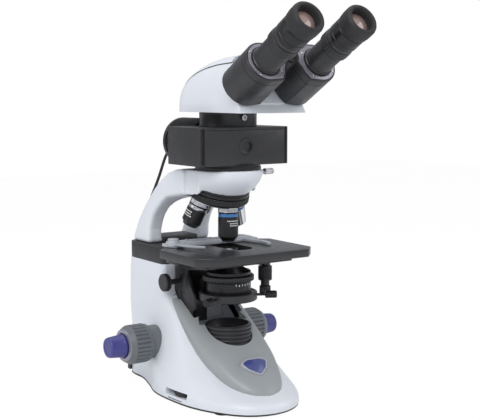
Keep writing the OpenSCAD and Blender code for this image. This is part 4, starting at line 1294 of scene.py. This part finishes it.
class MICROSCOPE_OT_stage_knobs(bpy.types.Operator):
    """Turns the two coaxial knobs that move the stage and the specimen"""

    bl_idname = "microscope.stage_knobs"
    bl_label = "Stage drive knobs"

    def execute(self, context):
        seat = Matrix.Translation((*middle("drive_knobs_y").xy, 0)) @ SCALE
        low, high = (v.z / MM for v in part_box("drive_knobs_y"))
        upper = turned("drive_upper", [(3.1, low), (4.6, low), (5, low + 0.4), (5, low + 5.6),
                                       (7.2, low + 6), (8, low + 6.8), (8, low + 8.2),
                                       (8, low + 8.8), (8, high - 2.6), (8, high - 2),
                                       (8, high - 0.8), (7.2, high), (3.1, high),
                                       (3.1, low)], 112)
        flute(upper, 28, 0.55, low + 8.4, high - 2.4, 7.8)
        finish(upper, "y_drive", MATERIALS["plastic"], "black_plastic", "drive_knobs_y",
               matrix=seat)
        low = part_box("drive_knob_x")[0].z / MM
        lower = turned("drive_lower", [(4.6, low), (5.8, low + 0.2), (6.5, low + 0.9),
                                       (6.5, low + 1.9), (6.5, low + 2.3), (6.5, low + 7.3),
                                       (6.5, low + 7.7), (6.5, low + 8.8), (5.8, low + 9.6),
                                       (1.5, low + 9.7)], 96)
        flute(lower, 24, 0.5, low + 2.0, low + 7.6, 6.3)
        finish(lower, "x_drive", MATERIALS["plastic"], "black_plastic", "drive_knob_x",
               matrix=seat)
        return {"FINISHED"}


# ---------------------------------------------------------------- condenser


class MICROSCOPE_OT_condenser(bpy.types.Operator):
    """Turns the condenser, its iris ring, marks, centring screws and knob"""

    bl_idname = "microscope.condenser"
    bl_label = "Condenser"

    def execute(self, context):
        ring = turned("condenser_carrier", [
            (26, 108.5), (31, 108.5), (32, 109.3), (32, 116.7), (31.2, 117.5), (29, 117.5),
            (28.6, 117), (26, 117), (26, 108.5)], 96)
        block_back = block("link", -15, 15, 28, 47, 102, 128, 0.8)
        cut(block_back, turned("bore", [(29, 100), (29, 130)]))
        weld(ring, block_back)
        finish(ring, "condenser", MATERIALS["black"], "black_paint", matrix=STAND)
        lens_mount = turned("condenser_body", [
            (8.1, 110), (24, 110), (25, 110.8), (25, 118), (24.4, 118.6), (24.4, 119.4),
            (25, 120), (25, 129), (24.2, 130), (22, 130.2), (22, 136.5), (24, 136.6),
            (25, 137.2), (25, 140.2), (24, 141), (21.6, 141.2), (12, 147.6), (11, 148.4),
            (11, 164.2), (10.4, 165), (9.4, 165), (9.2, 163.4), (8.1, 163.2), (8.1, 110)], 96)
        finish(lens_mount, "condenser", MATERIALS["anodised"], "black_anodised",
               "condenser_unit", matrix=STAND)
        lens = turned("condenser_lens", [(8.2, 160), (8.2, 163), (6, 163.9), (3, 164.5),
                                         (0, 164.6)], 48)
        finish(lens, "condenser", MATERIALS["glass"], "glass", matrix=STAND)
        iris = turned("iris_knurl", [(22.2, 130.3), (27.6, 130.3), (28.4, 131), (28.4, 131.6),
                                     (28.4, 135), (28.4, 135.6), (27.6, 136.3),
                                     (22.2, 136.3), (22.2, 130.3)], 224)
        flute(iris, 56, 0.5, 131.3, 135.3, 28.2)
        finish(iris, "iris", MATERIALS["plastic"], "black_anodised", "iris_ring",
               matrix=STAND)
        marks = []
        for k, a in enumerate(range(-104, -58, 9)):
            mark = slab("mark", [(-0.9, 126.4), (0.9, 126.4), (0, 128.6)]
                        if k % 2 else [(-0.35, 126.4), (0.35, 126.4), (0.35, 128.8),
                                       (-0.35, 128.8)], -25.12, -25.0)
            place(mark, turn("Z", a + 90) @ Matrix(((1, 0, 0, 0), (0, 0, 1, 0),
                                                    (0, 1, 0, 0), (0, 0, 0, 1))))
            marks.append(mark)
        scale = joined("iris_scale", *marks)
        outward(scale)
        finish(scale, "condenser", MATERIALS["mark"], "badge", matrix=STAND, angle=0)
        low, high = (v.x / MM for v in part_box("condenser_knob"))
        wheel = turned("condenser_wheel", [
            (3, low), (8.8, low), (10, low + 1), (10, low + 1.5), (10, low + 1.9),
            (10, low + 5.4), (10, low + 5.8), (9.4, low + 6.6), (5, low + 7),
            (3, low + 7), (3, high - 4.9), (6, high - 4.6), (6, high)], 128)
        flute(wheel, 32, 0.6, low + 1.7, low + 5.6, 9.8)
        seat = Matrix.Translation((0, *middle("condenser_knob").yz)) @ SCALE @ turn("Y", 90)
        finish(wheel, "condenser_drive", MATERIALS["plastic"], "black_plastic",
               "condenser_knob", matrix=seat)
        for word, angle in (("left", 210), ("right", -30)):
            grip = turned("centring_" + word, [
                (1.5, 26.8), (1.5, 40.8), (3.2, 41), (4.1, 41.6), (4.1, 42.6), (4.1, 43.2),
                (4.1, 52.4), (4.1, 53), (3.6, 53.8), (1, 54)], 72)
            flute(grip, 18, 0.35, 42.9, 52.7, 3.9)
            aim = STAND @ turn("Z", angle) @ shift(0, 0, 113) @ turn("Y", 90)
            finish(grip, word + "_centring", MATERIALS["anodised"], "black_anodised",
                   "centring_screw_" + word, matrix=aim)
        return {"FINISHED"}


# ---------------------------------------------------------------- carried-over parts


class MICROSCOPE_OT_kept_parts(bpy.types.Operator):
    """Gives the parts that are shown as they are their finishes"""

    bl_idname = "microscope.kept_parts"
    bl_label = "Finishes of kept parts"

    FINISHES = {
        "rubber_feet": "rubber", "rear_cover": "plastic", "power_inlet": "plastic",
        "power_switch": "plastic", "dimmer_wheel": "plastic", "coarse_shaft": "steel",
        "lamp_board": "board", "filter_cube": "anodised",     }

    def execute(self, context):
        for node, key in self.FINISHES.items():
            thing = bpy.data.objects[node]
            thing.data.materials.clear()
            thing.data.materials.append(MATERIALS[key])
        return {"FINISHED"}


# ---------------------------------------------------------------- set


class MICROSCOPE_OT_camera(bpy.types.Operator):
    """Places the camera in front, to the left and a little above"""

    bl_idname = "microscope.camera"
    bl_label = "Camera"

    def execute(self, context):
        bpy.ops.object.camera_add(location=(-0.6162, AXIS_Y - 0.9161, 0.333),
                                  rotation=(math.radians(83.5), 0, math.radians(-34.6)))
        camera = context.object
        camera.name = "camera"
        camera.data.lens = 76.2
        camera.data.sensor_width = 36
        context.scene.camera = camera
        return {"FINISHED"}


class MICROSCOPE_OT_studio(bpy.types.Operator):
    """Lays a pale floor and sets soft studio light on a white background"""

    bl_idname = "microscope.studio"
    bl_label = "Studio"

    # Soft boxes: name, place, size, power
    BOXES = (("key_light", (-0.9, -0.9, 1.3), 1.0, 13), ("fill_light", (1.1, -0.8, 0.9), 1.0, 4),
             ("top_light", (0.1, 0.4, 1.6), 1.2, 7), ("left_light", (-1.3, 0.3, 0.6), 0.8, 2))

    def execute(self, context):
        context.scene.view_settings.view_transform = "Standard"
        bpy.ops.mesh.primitive_plane_add(size=6, location=(0, 0, 0))
        floor = context.object
        floor.name = "floor"
        s = Shader("Pale floor")
        s.link(s.mix(s.span(s.noise(3.0), 0, 1), (0.90, 0.90, 0.91), (0.93, 0.93, 0.94)),
               s.bsdf.inputs["Base Color"])
        s.bsdf.inputs["Roughness"].default_value = 0.6
        s.bsdf.inputs["Specular IOR Level"].default_value = 0.2
        glow = s.add("ShaderNodeEmission", Color=(1, 1, 1, 1), Strength=1.02)
        seen = s.add("ShaderNodeLightPath").outputs["Is Camera Ray"]
        share = s.add("ShaderNodeMath", operation="MULTIPLY")
        s.link(seen, share.inputs[0])
        share.inputs[1].default_value = 0.94
        both = s.add("ShaderNodeMixShader")
        s.link(share.outputs["Value"], both.inputs["Fac"])
        s.link(s.bsdf.outputs["BSDF"], both.inputs[1])
        s.link(glow.outputs["Emission"], both.inputs[2])
        s.link(both.outputs["Shader"], s.nodes["Material Output"].inputs["Surface"])
        floor.data.materials.append(s.material)
        target = Vector((0, 0, 0.2))
        for name, spot, size, power in self.BOXES:
            bpy.ops.object.light_add(type="AREA", location=spot)
            light = context.object
            light.name = name
            light.data.shape = "SQUARE"
            light.data.size = size
            light.data.energy = power
            light.rotation_euler = (target - Vector(spot)).to_track_quat("-Z", "Y").to_euler()
        world = bpy.data.worlds.new("Studio white")
        context.scene.world = world
        world.use_nodes = True
        nodes, links = world.node_tree.nodes, world.node_tree.links
        seen = nodes["Background"]
        seen.inputs["Color"].default_value = (1, 1, 1, 1)
        seen.inputs["Strength"].default_value = 1.0
        lit = nodes.new("ShaderNodeBackground")
        lit.inputs["Color"].default_value = (0.93, 0.95, 1, 1)
        lit.inputs["Strength"].default_value = 0.5
        path = nodes.new("ShaderNodeLightPath")
        mix = nodes.new("ShaderNodeMixShader")
        links.new(path.outputs["Is Camera Ray"], mix.inputs["Fac"])
        links.new(lit.outputs["Background"], mix.inputs[1])
        links.new(seen.outputs["Background"], mix.inputs[2])
        links.new(mix.outputs["Shader"], nodes["World Output"].inputs["Surface"])
        return {"FINISHED"}


# ---------------------------------------------------------------- add-on

OPERATORS = (
    MICROSCOPE_OT_camera, MICROSCOPE_OT_studio, MICROSCOPE_OT_lamp_house,
    MICROSCOPE_OT_base, MICROSCOPE_OT_cowl, MICROSCOPE_OT_lamp_hood,
    MICROSCOPE_OT_focus_drive, MICROSCOPE_OT_arm, MICROSCOPE_OT_nosepiece,
    MICROSCOPE_OT_objectives, MICROSCOPE_OT_filter_block, MICROSCOPE_OT_head,
    MICROSCOPE_OT_prisms, MICROSCOPE_OT_eyepieces, MICROSCOPE_OT_stage,
    MICROSCOPE_OT_carrier, MICROSCOPE_OT_holder, MICROSCOPE_OT_stage_knobs,
    MICROSCOPE_OT_condenser, MICROSCOPE_OT_kept_parts,
)


class MICROSCOPE_PT_panel(bpy.types.Panel):
    """Lists the pieces of the microscope in the order in which they are built"""

    bl_idname = "MICROSCOPE_PT_panel"
    bl_label = "Microscope"
    bl_space_type = "VIEW_3D"
    bl_region_type = "UI"
    bl_category = "Microscope"

    def draw(self, context):
        layout = self.layout
        for group in (context.scene.microscope_colours, context.scene.microscope_sizes):
            for name in group.__annotations__:
                layout.prop(group, name)
        for operator in OPERATORS:
            layout.operator(operator.bl_idname)


CLASSES = (MicroscopeColours, MicroscopeSizes, *OPERATORS, MICROSCOPE_PT_panel)


def register():
    for cls in CLASSES:
        bpy.utils.register_class(cls)
    bpy.types.Scene.microscope_colours = PointerProperty(type=MicroscopeColours)
    bpy.types.Scene.microscope_sizes = PointerProperty(type=MicroscopeSizes)


def unregister():
    del bpy.types.Scene.microscope_sizes
    del bpy.types.Scene.microscope_colours
    for cls in reversed(CLASSES):
        bpy.utils.unregister_class(cls)


def main():
    register()
    make_materials()
    bpy.ops.microscope.camera()
    bpy.ops.microscope.studio()
    bpy.ops.microscope.lamp_house()
    bpy.ops.microscope.base()
    bpy.ops.microscope.cowl()
    bpy.ops.microscope.lamp_hood()
    bpy.ops.microscope.focus_drive()
    bpy.ops.microscope.arm()
    bpy.ops.microscope.nosepiece()
    bpy.ops.microscope.objectives()
    bpy.ops.microscope.filter_block()
    bpy.ops.microscope.head()
    bpy.ops.microscope.prisms()
    bpy.ops.microscope.eyepieces()
    bpy.ops.microscope.stage()
    bpy.ops.microscope.carrier()
    bpy.ops.microscope.holder()
    bpy.ops.microscope.stage_knobs()
    bpy.ops.microscope.condenser()
    bpy.ops.microscope.kept_parts()


if __name__ == "__main__":
    main()
